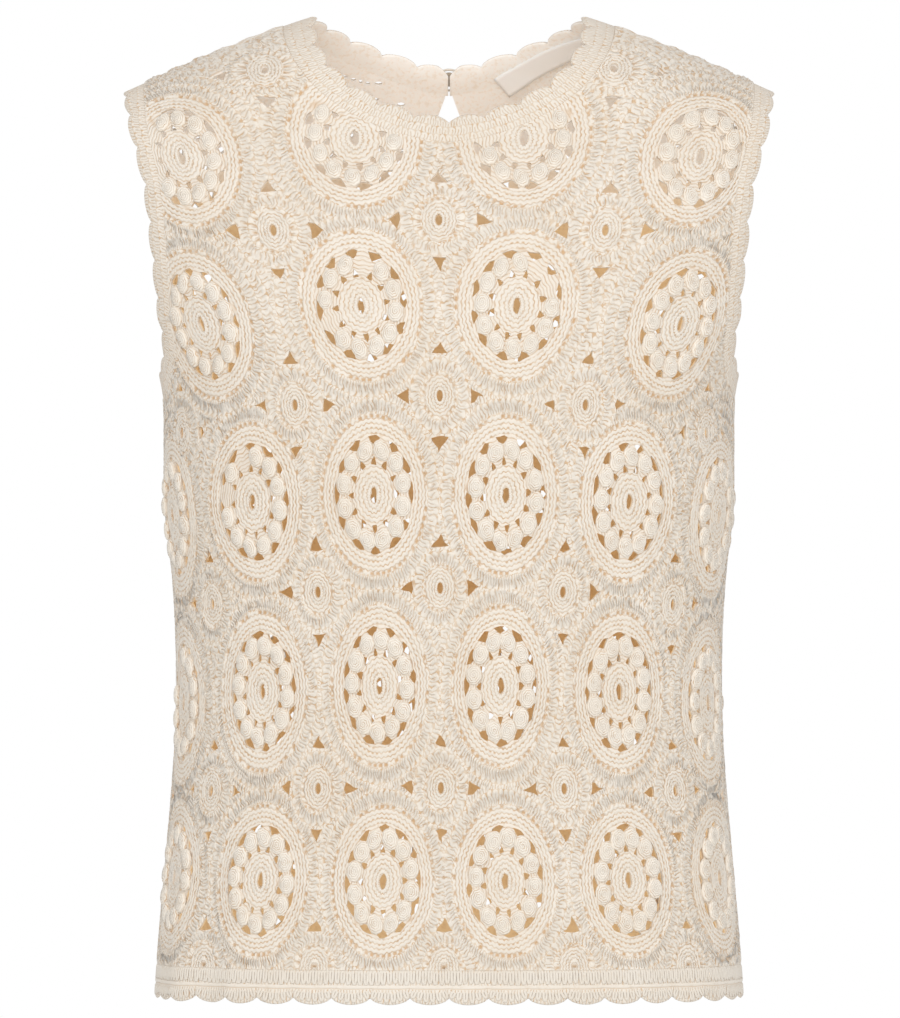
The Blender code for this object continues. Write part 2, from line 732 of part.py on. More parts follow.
def build_armhole_bands(finish, collection):
    """One scalloped band round each armhole, over the shoulder and under the arm."""
    seam = step_off(ARMHOLE_SEAM, ARMHOLE_FREE)
    for name, flip in (("left_armhole_band", False), ("right_armhole_band", True)):
        free_line = mirrored(ARMHOLE_FREE) if flip else ARMHOLE_FREE
        seam_line = mirrored(seam) if flip else seam
        parts = (
            (FRONT, free_line, seam_line, ARMHOLE_SCALLOPS_HALF),
            (BACK, free_line[::-1], seam_line[::-1], ARMHOLE_SCALLOPS_HALF),
        )
        band(name, parts, True, finish, collection)


def build_hem_band(finish, collection):
    """The scalloped band round the hem."""
    shares = np.linspace(-1, 1, 20 * HEM_SCALLOPS_HALF + 1)
    across = shares * QUARTER_ROUND
    seam = np.stack((across, np.full_like(across, HEM_SEAM - SEAM_GAP / 2)), axis=1)
    free = np.stack((across, np.full_like(across, HEM_EDGE)), axis=1)
    parts = (
        (FRONT, free, seam, HEM_SCALLOPS_HALF),
        (BACK, mirrored(free), mirrored(seam), HEM_SCALLOPS_HALF),
    )
    band("hem_band", parts, True, finish, collection)


def button_frame():
    """The button's middle on the cloth and its turn to face out of the cloth."""
    height = NECK_FREE[BACK][0][1] - BUTTON_BELOW_EDGE
    lift = SEAM_GAP + BUTTON_THICKNESS / 2
    foot = cloth_point(BACK, 0.0, height)
    middle = cloth_point(BACK, 0.0, height, lift)
    turn = (middle - foot).to_track_quat("Z", "Y").to_matrix().to_4x4()
    return height, middle, turn


def build_button(finish, collection):
    """A small round button that closes the neck at the centre back."""
    _, middle, turn = button_frame()
    bm = bmesh.new()
    bmesh.ops.create_cone(
        bm, cap_ends=True, segments=20, radius1=BUTTON_RADIUS, radius2=BUTTON_RADIUS,
        depth=BUTTON_THICKNESS,
    )
    mesh = bpy.data.meshes.new("back_button")
    bm.to_mesh(mesh)
    bm.free()
    made = add_object("back_button", mesh, finish, collection)
    made.matrix_world = Matrix.Translation(middle) @ turn
    rounding = made.modifiers.new("rounded_rim", "BEVEL")
    rounding.width = BUTTON_THICKNESS / 4
    rounding.segments = 2


def build_button_loop(finish, collection):
    """The yarn loop that goes round the button, on the outside of the neck band."""
    height, _, _ = button_frame()
    radius = BUTTON_RADIUS + LOOP_YARN_RADIUS + LOOP_CLEARANCE
    lift = SEAM_GAP + LOOP_YARN_RADIUS * 1.15
    curve = bpy.data.curves.new("button_loop", "CURVE")
    curve.dimensions = "3D"
    curve.bevel_depth = LOOP_YARN_RADIUS
    curve.bevel_resolution = 1
    spline = curve.splines.new("POLY")
    spline.points.add(LOOP_POINTS - 1)
    for i, (across, up) in enumerate(ellipse((0.0, height), radius, radius, LOOP_POINTS)):
        spline.points[i].co = (*cloth_point(BACK, across, up, lift), 1.0)
    spline.use_cyclic_u = True
    guide = bpy.data.objects.new("loop_guide", curve)
    collection.objects.link(guide)
    bpy.context.view_layer.update()
    solid = guide.evaluated_get(bpy.context.evaluated_depsgraph_get())
    mesh = bpy.data.meshes.new_from_object(solid)
    bpy.data.objects.remove(guide)
    add_object("button_loop", mesh, finish, collection)


def build_label(finish, collection):
    """A blank satin label, sewn inside the back neck beside the centre."""
    columns = 8
    line = NECK_FREE[BACK]
    ends = (LABEL_START, LABEL_START + LABEL_WIDTH)
    top = line_at(line, np.interp(ends, lengths_along(line), np.arange(len(line))))
    chord = (top[1] - top[0]) / np.linalg.norm(top[1] - top[0])
    down = np.array((chord[1], -chord[0]))
    bm = bmesh.new()
    rows = []
    for fall in LABEL_BELOW_EDGE + LABEL_HEIGHT * np.linspace(0, 1, 3):
        row = []
        for share in np.linspace(0, 1, columns + 1):
            place = top[0] + chord * LABEL_WIDTH * share + down * fall
            row.append(bm.verts.new(cloth_point(BACK, *place, -WALL - SEAM_GAP - LABEL_LIFT)))
        rows.append(row)
    for upper, lower in zip(rows, rows[1:]):
        for i in range(columns):
            bm.faces.new((upper[i], upper[i + 1], lower[i + 1], lower[i]))
    mesh = bpy.data.meshes.new("neck_label")
    bm.to_mesh(mesh)
    bm.free()
    made = add_object("neck_label", mesh, finish, collection)
    thickness = made.modifiers.new("thickness", "SOLIDIFY")
    thickness.thickness = LABEL_THICKNESS
    thickness.offset = 0.0
    split = made.modifiers.new("triangles", "TRIANGULATE")
    split.min_vertices = 4


def build_top():
    """Build every piece of the top."""
    for old in list(bpy.data.objects):
        bpy.data.objects.remove(old)
    collection = bpy.data.collections.new("crochet_top")
    bpy.context.scene.collection.children.link(collection)
    yarn = material("cotton_yarn", YARN_COLOUR, 0.9)
    build_panel("front_panel", FRONT, yarn, collection)
    build_panel("back_panel", BACK, yarn, collection)
    build_neck_band(yarn, collection)
    build_armhole_bands(yarn, collection)
    build_hem_band(yarn, collection)
    build_button(material("button_resin", BUTTON_COLOUR, 0.35), collection)
    build_button_loop(yarn, collection)
    build_label(material("label_satin", LABEL_COLOUR, 0.35), collection)


build_top()
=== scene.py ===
"""A sleeveless crochet top of round medallions, dressed in its yarn.

Metres, the front faces -Y and +Z is up. The cloth is laid out on one pattern for each
face: (across, height), where across is the way round the body from the centre line and
height runs down the cloth from the shoulder.
"""
import math
from collections import namedtuple

import bpy
import numpy as np
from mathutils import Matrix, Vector
from mathutils.geometry import delaunay_2d_cdt
from mathutils.kdtree import KDTree


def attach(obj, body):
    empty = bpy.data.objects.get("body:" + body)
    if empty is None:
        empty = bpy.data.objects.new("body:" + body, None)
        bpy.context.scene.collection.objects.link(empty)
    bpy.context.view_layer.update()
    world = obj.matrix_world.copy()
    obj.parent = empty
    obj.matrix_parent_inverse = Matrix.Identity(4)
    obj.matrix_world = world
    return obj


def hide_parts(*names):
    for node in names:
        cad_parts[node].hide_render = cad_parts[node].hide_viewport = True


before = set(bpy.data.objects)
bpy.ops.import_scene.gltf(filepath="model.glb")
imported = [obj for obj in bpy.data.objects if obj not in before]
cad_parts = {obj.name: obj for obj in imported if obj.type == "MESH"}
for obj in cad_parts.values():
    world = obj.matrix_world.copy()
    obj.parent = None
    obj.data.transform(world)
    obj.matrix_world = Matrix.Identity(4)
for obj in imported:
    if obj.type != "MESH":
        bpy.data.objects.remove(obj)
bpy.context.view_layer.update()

# ---- The view -----------------------------------------------------------------------
# The top hangs as it is worn, seen straight from the front over a plain pale floor, in
# soft white light from all round, a lamp at each side and a large one behind the camera.
CAMERA_DISTANCE = 6.0
CAMERA_X = 0.0006
CAMERA_HEIGHT = -0.2767
FRAME_HEIGHT = 0.6006          # what the frame takes in at the middle of the body
SENSOR = 36.0
FLOOR_HEIGHT = -1.30
FLOOR_HALF_SIZE = 4.5
FLOOR_COLOUR = (0.9, 0.9, 0.89, 1)
FLOOR_ROUGHNESS = 0.8
WHITE = (1, 1, 1, 1)
SKY_LIGHT = 0.68
LAMPS = (                      # place, size, power
    ("key", (-1.5, -2.6, 1.5), 1.1, 19.0),
    ("fill", (1.9, -2.8, 0.9), 1.8, 19.0),
    ("front", (0.2, -6.6, 0.3), 2.0, 95.0),
)
MIDDLE = Vector((0.0, 0.0, -0.28))

scene = bpy.context.scene
scene.view_settings.view_transform = "Standard"

camera_data = bpy.data.cameras.new("camera")
camera_data.sensor_fit = "VERTICAL"
camera_data.sensor_height = SENSOR
camera_data.lens = SENSOR * CAMERA_DISTANCE / FRAME_HEIGHT
camera = bpy.data.objects.new("camera", camera_data)
camera.location = (CAMERA_X, -CAMERA_DISTANCE, CAMERA_HEIGHT)
camera.rotation_euler = (math.pi / 2, 0, 0)
scene.collection.objects.link(camera)
scene.camera = camera

for lamp_name, place, size, power in LAMPS:
    lamp_data = bpy.data.lights.new(lamp_name, "AREA")
    lamp_data.size = size
    lamp_data.energy = power
    lamp = bpy.data.objects.new(lamp_name, lamp_data)
    lamp.location = place
    lamp.rotation_euler = (MIDDLE - Vector(place)).to_track_quat("-Z", "Y").to_euler()
    scene.collection.objects.link(lamp)

world = bpy.data.worlds.new("white_room")
world.use_nodes = True
scene.world = world
room = world.node_tree
room.nodes.clear()
sky = room.nodes.new("ShaderNodeBackground")
sky.inputs["Strength"].default_value = SKY_LIGHT
paper = room.nodes.new("ShaderNodeBackground")
ray = room.nodes.new("ShaderNodeLightPath")
choose = room.nodes.new("ShaderNodeMixShader")
room_out = room.nodes.new("ShaderNodeOutputWorld")
for shade in (sky, paper):
    shade.inputs["Color"].default_value = WHITE
room.links.new(ray.outputs["Is Camera Ray"], choose.inputs[0])
room.links.new(sky.outputs[0], choose.inputs[1])
room.links.new(paper.outputs[0], choose.inputs[2])
room.links.new(choose.outputs[0], room_out.inputs[0])

floor_mesh = bpy.data.meshes.new("floor")
floor_mesh.from_pydata([
    (x * FLOOR_HALF_SIZE, y * FLOOR_HALF_SIZE, FLOOR_HEIGHT)
    for x, y in ((-1, -1), (1, -1), (1, 1), (-1, 1))
], [], [(0, 1, 2, 3)])
floor = bpy.data.objects.new("floor", floor_mesh)
floor_paint = bpy.data.materials.new("floor_paint")
floor_paint.use_nodes = True
floor_shader = floor_paint.node_tree.nodes["Principled BSDF"]
floor_shader.inputs["Base Color"].default_value = FLOOR_COLOUR
floor_shader.inputs["Roughness"].default_value = FLOOR_ROUGHNESS
floor_mesh.materials.append(floor_paint)
scene.collection.objects.link(floor)


# ---- The lace of the front and the back ---------------------------------------------
# Each panel is crocheted cotton: round medallions with a slit in the middle, a ring of
# bobbles in an open round and plain rounds about it, joined by small rosettes. It is
# made here as a shell whose outer face is raised stitch by stitch, and cut at each gap.
FRONT = -1
BACK = 1
WALL = 0.0022
SEAM_GAP = 0.0003
QUARTER_ROUND = 0.230
CORNER_FULLNESS = 0.02
MEAN_HALF_WIDTH = 0.168
MEAN_DEPTH = 0.107
NECK_HALF_WIDTH = 0.0815
SHOULDER_TOP = 0.0136
SHOULDER_SLOPE = 0.510
SHOULDER_ROUNDING = 0.100
CREST_DROP = 0.040
CREST_CLOTH = 0.071
NECK_DROP = {FRONT: 0.0634, BACK: 0.0290}
NECK_POWERS = {FRONT: (1.60, 0.46), BACK: (1.30, 0.90)}
NECK_BAND_WIDTH = 0.0130
ARMHOLE_STRAIGHT_END = -0.165
ARMHOLE_BOTTOM = -0.1995
ARMHOLE_BAND_WIDTH = 0.0120
HEM_SEAM = -0.5446
HEM_EDGE = -0.5621
KEYHOLE_LENGTH = 0.050
KEYHOLE_HALF_WIDTH = 0.0062
KEYHOLE_FULLNESS = 1.15
KEYHOLE_SLIT = 0.0032
KEYHOLE_PLACES = 40            # how many places each line of the form is worked out at
NECK_PLACES = 160
ARMHOLE_PLACES = (60, 100)     # round its foot, and up to the shoulder
RIDGE_PLACES = 30
SECTION_PLACES = 400

Section = namedtuple("Section", "height half_width front_depth back_depth")
SECTIONS = [Section(*row) for row in (
    (0.0500, 0.2250, 0.0440, 0.0400),
    (0.0136, 0.2215, 0.0500, 0.0500),
    (-0.0100, 0.2185, 0.0580, 0.0600),
    (-0.0330, 0.2150, 0.0680, 0.0770),
    (-0.0600, 0.2085, 0.0810, 0.0920),
    (-0.0940, 0.1995, 0.1000, 0.1040),
    (-0.1300, 0.1900, 0.1115, 0.1100),
    (-0.1650, 0.1805, 0.1180, 0.1125),
    (-0.1900, 0.1730, 0.1190, 0.1120),
    (-0.2120, 0.1685, 0.1185, 0.1110),
    (-0.2400, 0.1678, 0.1175, 0.1090),
    (-0.2720, 0.1676, 0.1150, 0.1065),
    (-0.3200, 0.1626, 0.1095, 0.1015),
    (-0.3650, 0.1606, 0.1060, 0.0985),
    (-0.4100, 0.1612, 0.1030, 0.0985),
    (-0.4500, 0.1640, 0.1005, 0.1000),
    (-0.5000, 0.1684, 0.0995, 0.1020),
    (-0.5450, 0.1722, 0.1005, 0.1040),
    (-0.5800, 0.1745, 0.1015, 0.1050),
)]
ArmholeEdge = namedtuple("ArmholeEdge", "height half_span")
ARMHOLE_EDGE = [ArmholeEdge(*row) for row in (
    (0.0500, 0.1895),
    (-0.0330, 0.1890),
    (-0.0510, 0.1868),
    (-0.0870, 0.1785),
    (-0.1290, 0.1736),
    (-0.1650, 0.1702),
)]
# The creases that run down the cloth, deepest at their foot, listed one by one.
Fold = namedtuple("Fold", "face across half_width top foot rise")
FOLDS = [Fold(*row) for row in (
    (FRONT, -0.150, 0.020, -0.440, -0.580, -0.0030),
    (FRONT, -0.178, 0.018, -0.430, -0.580, 0.0022),
    (FRONT, -0.022, 0.026, -0.490, -0.580, -0.0020),
    (FRONT, 0.066, 0.034, -0.500, -0.580, 0.0018),
    (FRONT, 0.139, 0.024, -0.470, -0.580, -0.0022),
    (BACK, 0.136, 0.024, -0.430, -0.580, -0.0026),
    (BACK, 0.104, 0.022, -0.450, -0.580, 0.0018),
    (BACK, -0.040, 0.030, -0.480, -0.580, -0.0022),
    (BACK, -0.128, 0.026, -0.450, -0.580, -0.0024),
)]
MedallionRow = namedtuple(
    "MedallionRow", "height droop first pitch per_side turned half_width half_height"
)
MEDALLIONS = [MedallionRow(*row) for row in (
    (-0.0595, 0.034, 0.0412, 0.0915, 2, 0.0047, 0.0190, 0.0235),
    (-0.1578, 0.030, 0.0430, 0.0985, 2, 0.0056, 0.0195, 0.0250),
    (-0.2680, 0.018, 0.0396, 0.0767, 3, 0.0055, 0.0184, 0.0265),
    (-0.3790, 0.016, 0.0380, 0.0770, 3, 0.0056, 0.0176, 0.0268),
    (-0.4928, 0.000, 0.0368, 0.0767, 3, 0.0030, 0.0178, 0.0252),
)]
RosetteRow = namedtuple(
    "RosetteRow", "height droop first pitch per_side turned reach_across reach_up"
)
ROSETTES = [RosetteRow(*row) for row in (
    (-0.0140, 0.020, 0.0824, 0.0900, 1, 0.0047, 0.0240, 0.0235),
    (-0.1090, 0.040, 0.0000, 0.0872, 1, 0.0052, 0.0240, 0.0262),
    (-0.2112, 0.036, 0.0000, 0.0880, 2, 0.0055, 0.0222, 0.0280),
    (-0.3225, 0.022, 0.0000, 0.0767, 3, 0.0055, 0.0212, 0.0280),
    (-0.4385, 0.006, 0.0000, 0.0767, 3, 0.0050, 0.0212, 0.0280),
    (-0.5430, 0.000, 0.0000, 0.0767, 3, 0.0030, 0.0212, 0.0250),
)]


def smooth_values(table, column, height):
    """One column of a table of heights, read as a smooth curve."""
    levels = np.array([row.height for row in table])[::-1]
    values = np.array([getattr(row, column) for row in table])[::-1]
    slopes = np.gradient(values, levels)
    start = np.clip(np.searchsorted(levels, height) - 1, 0, len(levels) - 2)
    span = levels[start + 1] - levels[start]
    t = (height - levels[start]) / span
    rise = (3 - 2 * t) * t * t
    flat = values[start] * (1 - rise) + values[start + 1] * rise
    return flat + span * t * (1 - t) * (slopes[start] * (1 - t) - slopes[start + 1] * t)


def section_across(angle):
    """The half-width's share at an angle from the centre line."""
    return (np.sin(angle) + CORNER_FULLNESS * np.sin(3 * angle)) / (1 - CORNER_FULLNESS)


def section_along(angle):
    """The depth's share at an angle from the centre line."""
    return (np.cos(angle) - CORNER_FULLNESS * np.cos(3 * angle)) / (1 - CORNER_FULLNESS)


SECTION_ANGLES = np.linspace(0, math.pi / 2, SECTION_PLACES)
SECTION_STEPS = np.hypot(
    np.diff(MEAN_HALF_WIDTH * section_across(SECTION_ANGLES)),
    np.diff(MEAN_DEPTH * section_along(SECTION_ANGLES)),
)
SECTION_ARC = np.concatenate(([0.0], np.cumsum(SECTION_STEPS)))
SECTION_ARC = SECTION_ARC * QUARTER_ROUND / SECTION_ARC[-1]


def shoulder_height(x):
    """Height of the shoulder line over x."""
    run = np.hypot(x, SHOULDER_ROUNDING) - math.hypot(NECK_HALF_WIDTH, SHOULDER_ROUNDING)
    return SHOULDER_TOP - SHOULDER_SLOPE * run


def fold_rise(face, across, height):
    """How far the creases lift the cloth off the plain form."""
    total = np.zeros_like(height)
    for fold in FOLDS:
        if fold.face == face:
            aside = np.clip(np.abs(across - fold.across) / fold.half_width, 0, 1)
            length = np.clip((fold.top - height) / (fold.top - fold.foot), 0, 1)
            share = np.cos(aside * math.pi / 2) * np.sin(length * math.pi / 2)
            total = total + fold.rise * share ** 2
    return total


def form_points(face, across, height):
    """Places of the pattern on the plain outer form."""
    angle = np.copysign(np.interp(np.abs(across), SECTION_ARC, SECTION_ANGLES), across)
    rise = fold_rise(face, across, height)
    half_width = smooth_values(SECTIONS, "half_width", height) + rise
    depth_column = "front_depth" if face == FRONT else "back_depth"
    depth = smooth_values(SECTIONS, depth_column, height) + rise
    x = half_width * section_across(angle)
    ridge = shoulder_height(x)
    below = ridge + CREST_CLOTH - CREST_DROP - height
    turn = math.pi / 2 * below / CREST_CLOTH
    over = below < CREST_CLOTH
    z = np.where(over, ridge - CREST_DROP * (1 - np.cos(turn)), height)
    crest = np.where(over, np.sin(turn), 1.0)
    return np.stack((x, face * depth * section_along(angle) * crest, z), axis=-1)


PROBE = 0.0001                 # a step on the pattern that finds which way the cloth faces


def cloth_frame(face, places):
    """Where places of the pattern lie on the form, and the cloth's outward way there."""
    across, height = np.asarray(places, float).reshape(-1, 2).T
    inward = -np.copysign(PROBE, across)
    spot = form_points(face, across, height)
    along = form_points(face, across + inward, height) - spot
    down = form_points(face, across, height - PROBE) - spot
    normal = np.cross(along, down)
    normal /= np.linalg.norm(normal, axis=1)[:, None]
    zero = np.zeros_like(height)
    middle = np.stack((zero, zero, spot[:, 2] - CREST_DROP), axis=1)
    inside_out = np.sum(normal * (spot - middle), axis=1) < 0
    normal[inside_out] *= -1
    return spot, normal


def cloth_points(face, places, out):
    """Places of the pattern, moved out of the cloth by a distance."""
    spot, normal = cloth_frame(face, places)
    return spot + normal * np.broadcast_to(out, len(spot))[:, None]


def across_at(x, height):
    """The pattern's place across for a point at x on a level of the form."""
    share = np.abs(x) / smooth_values(SECTIONS, "half_width", height)
    angle = np.interp(share, section_across(SECTION_ANGLES), SECTION_ANGLES)
    return np.copysign(np.interp(angle, SECTION_ANGLES, SECTION_ARC), x)


def pattern_places(x, z):
    """The pattern's places for points of the form seen from the front at x, z."""
    ridge = shoulder_height(x)
    turn = np.arccos(np.clip(1 - (ridge - z) / CREST_DROP, -1, 1))
    on_crest = ridge + CREST_CLOTH - CREST_DROP - CREST_CLOTH * turn / (math.pi / 2)
    height = np.where(ridge - z < CREST_DROP, on_crest, z)
    return np.stack((across_at(x, height), height), axis=-1)


RIDGE_TRIES = 12               # enough for the seam's height to settle


def ridge_at(across):
    """The pattern's place on the shoulder seam at a place across."""
    height = np.full(1, SHOULDER_TOP)
    for _ in range(RIDGE_TRIES):
        x = form_points(FRONT, np.full(1, float(across)), height)[:, 0]
        height = shoulder_height(x) + CREST_CLOTH - CREST_DROP
    return float(across), float(height[0])


def settle_on_ridge(line):
    """The same line with its last place exactly on the shoulder seam."""
    settled = line.copy()
    settled[-1] = ridge_at(settled[-1][0])
    return settled


def neck_edge(face):
    """The free edge of the neckline, from the centre line to the shoulder, at +X."""
    share = np.sin(np.linspace(0, math.pi / 2, NECK_PLACES))
    width_power, drop_power = NECK_POWERS[face]
    fall = NECK_DROP[face] * np.maximum(1 - share ** width_power, 0) ** drop_power
    return pattern_places(NECK_HALF_WIDTH * share, shoulder_height(NECK_HALF_WIDTH) - fall)


def armhole_edge():
    """The free edge of the armhole, from the side seam to the shoulder, at +X."""
    straight_x = smooth_values(ARMHOLE_EDGE, "half_span", ARMHOLE_STRAIGHT_END)
    straight_across = across_at(straight_x, ARMHOLE_STRAIGHT_END)
    turn = np.linspace(math.pi / 2, 0, ARMHOLE_PLACES[0])
    under = np.stack((
        QUARTER_ROUND - (QUARTER_ROUND - straight_across) * np.cos(turn),
        ARMHOLE_STRAIGHT_END - (ARMHOLE_STRAIGHT_END - ARMHOLE_BOTTOM) * np.sin(turn),
    ), axis=1)
    tip_x = ARMHOLE_EDGE[0].half_span
    tip_height = pattern_places(tip_x, shoulder_height(tip_x))[1]
    height = np.linspace(ARMHOLE_STRAIGHT_END, tip_height, ARMHOLE_PLACES[1])[1:]
    upper_across = across_at(smooth_values(ARMHOLE_EDGE, "half_span", height), height)
    return np.concatenate((under, np.stack((upper_across, height), axis=1)))


OFFSET_ENDS = 12               # the places over which an end of a line comes round


def offset_line(line, distance, first_way, last_way):
    """A line beside another on the pattern, with the ways its two ends step off."""
    steps = np.gradient(line, axis=0)
    ways = np.stack((steps[:, 1], -steps[:, 0]), axis=1)
    ways /= np.linalg.norm(ways, axis=1)[:, None]
    if np.dot(ways[len(ways) // 2], np.add(first_way, last_way)) < 0:
        ways = -ways
    for index in range(OFFSET_ENDS):
        share = index / OFFSET_ENDS
        ways[index] = np.array(first_way) * (1 - share) + ways[index] * share
        ways[-1 - index] = np.array(last_way) * (1 - share) + ways[-1 - index] * share
    ways /= np.linalg.norm(ways, axis=1)[:, None]
    return line + ways * distance


def lengths_along(line):
    """The length of a line up to each of its places."""
    return np.concatenate(([0.0], np.cumsum(np.linalg.norm(np.diff(line, axis=0), axis=1))))


def line_at(line, index):
    """The places on a line at fractional indices."""
    numbers = np.arange(len(line))
    return np.stack([np.interp(index, numbers, line[:, i]) for i in range(line.shape[1])], axis=-1)


def even_indices(line, count):
    """The fractional indices that part a line into equal lengths."""
    lengths = lengths_along(line)
    return np.interp(np.linspace(0, lengths[-1], count + 1), lengths, np.arange(len(line)))


def resampled(line, step):
    """A line with places at an even step, ends kept."""
    return line_at(line, even_indices(line, max(1, round(lengths_along(line)[-1] / step))))


def mirrored(line):
    """A line of the pattern on the other side of the centre line."""
    return line * np.array((-1.0, 1.0))


NECK_FREE = {face: settle_on_ridge(neck_edge(face)) for face in (FRONT, BACK)}
NECK_SEAM = {
    face: settle_on_ridge(offset_line(NECK_FREE[face], NECK_BAND_WIDTH, (0.0, -1.0), (1.0, 0.0)))
    for face in (FRONT, BACK)
}
ARMHOLE_FREE = settle_on_ridge(armhole_edge())
ARMHOLE_SEAM = settle_on_ridge(
    offset_line(ARMHOLE_FREE, ARMHOLE_BAND_WIDTH, (0.0, -1.0), (-1.0, 0.0))
)

# Sizes along the pattern. Shares are of a bobble ring's half sizes, and a strand of a
# round or a ground takes two lines: its ridge and the valley beside it.
EDGE_STEP = 0.0019
DISC_SHARE = 0.62
RING_SHARE = 1.345
RING_END = 1.675
PERFORATION_SHARE = 1.725
GROUND_SHARE = 1.790
GROUND_END = 4.2
MEDALLION_EDGE = PERFORATION_SHARE + 0.04    # where a rosette's ground stops beside it
MEDALLIONS_APART = 0.02
ROSETTE_EDGE = 1.03                          # where a medallion's ground stops beside it
DISC_ROUNDS = 4
DISC_COLUMNS = (24, 40)        # places round its inner rounds and its outer ones
OPEN_ROUNDS = 11               # strands for each ring share of what lies under the bobbles
RING_ROUNDS = 3
RING_COLUMNS = 120
DASHED_LINE = 2                # of the ring's lines, the one with a slit at every other stitch
INNER_COLUMNS_END = 0.4        # of a disc's width: its inner rounds end here
SLIT = (0.0019, 0.0047)
SLIT_PLACES = 14
BOBBLES = 12
PERFORATIONS = 56
PERFORATION_COLUMNS = 3        # places for each, the first of them closed
PERFORATION_HALF_WIDTH = 0.018
PERFORATION_STRAY = 0.006
GROUND_STITCHES = 132
GROUND_LEVEL = 0.085           # between the ground's lines
ROSETTE_LEVEL = 0.088
ROSETTE_HOLE = (0.0018, 0.0034)
CLOSED_HOLE = (0.0009, 0.0005)
ROSETTE_DISC = (0.0088, 0.0120)
ROSETTE_DOTS = 1.09            # of the disc: the pierced round about it
ROSETTE_DOT_COLUMNS = 40
ROSETTE_POSTS = 1.13           # of the disc: where the material changes to tall stitches
ROSETTE_GROUND = 1.19          # of the disc: where the mesh does
ROSETTE_INSET = (0.0040, 0.0055)             # of its ground from its gaps, across and up
ROSETTE_ROUNDS = 4
ROSETTE_COLUMNS = (18, 34)
ROSETTE_PLACES = 10            # round its hole, and round one that is drawn closed
CLOSED_PLACES = 6
# A hole drawn closed is a sunk ring painted with pit shade.
CLOSED_OUT = -0.0009
CLOSED_PIT = 0.9
ROSETTE_STITCHES = 44
HEM_ROSETTES_BELOW = -0.53     # their holes are drawn closed

# Heights out of the cloth, and pits as shares of the deepest painted pit shade: the tan
# that stands for shade between stitches. A stray is a random part, up to so much either
# way, and a chance is how often a thing is so.
ROUND_RIDGE = 0.00050
ROUND_VALLEY = -0.00040
ROUND_WAVE = 0.00024
ROUND_STRAY = 0.00012
WAVE_STRAY = 0.00007
VALLEY_PIT = 0.22
VALLEY_HOLE_PIT = 0.45         # more
VALLEY_HOLE_CHANCE = 0.16
DASH_PIT = 0.95
DASH_EDGE_PIT = 0.10
DASH_CHANCE = 0.80
POST_RIDGE = 0.00055
POST_VALLEY = -0.00055
POST_CURL = 0.45               # of half a stitch, up and down each tall stitch
POST_PIT = 0.20
POST_STRAY = 0.00012
CHAIN_WAVE = 0.00020
CHAIN_STRAY = 0.00015
PIT_SINK = 0.0002
DEEP_SINK = 0.0003
DEEP_PIT = 0.55                # more
DEEP_CHANCE = (0.0, 0.22, 0.08, 0.08)        # for each of the ground's four kinds of line
PIERCED_OUT = -0.0010
PIERCED_EDGE_OUT = 0.0003
PIERCED_EDGE_PIT = 0.1
PERFORATION_CHANCE = 0.72
PERFORATION_PITS = (0.72, 1.0)
DOT_CHANCE = 0.75
DOT_PIT = 0.9
# Painted pit shade round the rims of the gaps, and a little along the panel's edge.
RIM_OUT = 0.00005
RIM_PIT = 0.30
EDGE_PIT = 0.1
# The inner face is painted a warm shade for the hollow inside the top.
INSIDE = -1.0                  # the mark of the cloth's inner face

# What is cut through, and how far apart it keeps. The gaps beside a bobble, within and
# without, have a half turn, its spread, the strays of its turn and of its corners, and
# the corners as shares of the ring and of the half turn.
SLIT_STRAY = 0.00028
Gap = namedtuple("Gap", "half_turn spread turn_stray stray corners")
INNER_GAP = Gap(0.125, (0.75, 1.15), 0.02, 0.00018, (
    (0.665, -1.0), (0.655, 0.0), (0.665, 1.0), (0.76, 0.72), (0.86, 0.0), (0.76, -0.72),
))
OUTER_GAP = Gap(0.175, (0.75, 1.20), 0.04, 0.00030, (
    (1.10, 0.0), (1.16, 0.55), (1.27, 1.0), (1.315, 0.40), (1.30, -0.30), (1.28, -1.0), (1.17, -0.62),
))
GAP_BASE = 0.0088
GAP_HEIGHT = 0.0076
GAP_BASES = (0.8, 1.15)
GAP_HEIGHTS = (0.85, 1.1)
GAP_LEAN = 0.0008
GAP_STRAY = 0.00055
GAP_CORNERS = (                # up and aside, as shares of half the height and half the base
    (-1, 1), (-1.08, 0), (-1, -1), (-0.45, -0.72), (0.35, -0.25), (1, 0), (0.35, 0.25), (-0.45, 0.72),
)
EYELETS = (                    # a few left open under the back neck: x, z and half sizes
    (-0.0626, -0.0176, 0.0019, 0.0011), (-0.0571, -0.0193, 0.0012, 0.0012),
    (-0.0528, -0.0207, 0.0010, 0.0012), (-0.0486, -0.0215, 0.0014, 0.0010),
    (-0.0421, -0.0216, 0.0019, 0.0012), (-0.0288, -0.0340, 0.0020, 0.0014),
)
EYELET_PLACES = 8
CLEAR_OF_HOLE = 0.00075
CLEAR_OF_EDGE = 0.0011
STITCH_CLEAR_SHARE = 0.72      # of CLEAR_OF_HOLE, for the stitches round a hole
HOLE_REACH = 0.014             # holes whose middles lie further apart can't meet
STITCH_SPACING = 0.00052
EDGE_MARKS = 0.0008            # between the marks from which a distance is measured
HOLE_MARKS = 0.0006
NEAR_MARKS = 0.0005
PLAIN_MARKS = 0.001
PLAIN_STEP = 0.008             # between the places of the plain inner face
PLAIN_CLEAR = 0.002
SHOULDER_WAVE = 0.0011
SHOULDER_WAVE_PITCH = 0.0125
SHOULDER_WAVE_REACH = 0.006
SPIN_SEED = 40
LACE_SEED = 7


def row_places(row, face):
    """The centres of a row of motifs. A row with no first distance has one in the middle."""
    if row.first:
        right = [row.first + row.pitch * number for number in range(row.per_side)]
        whole = [-across for across in right] + right
    else:
        whole = [row.pitch * number for number in range(-row.per_side, row.per_side + 1)]
    return [
        (across + face * row.turned, row.height - row.droop * (across / QUARTER_ROUND) ** 2)
        for across in whole
    ]


Motif = namedtuple("Motif", "centre half_width half_height spin reach_up")


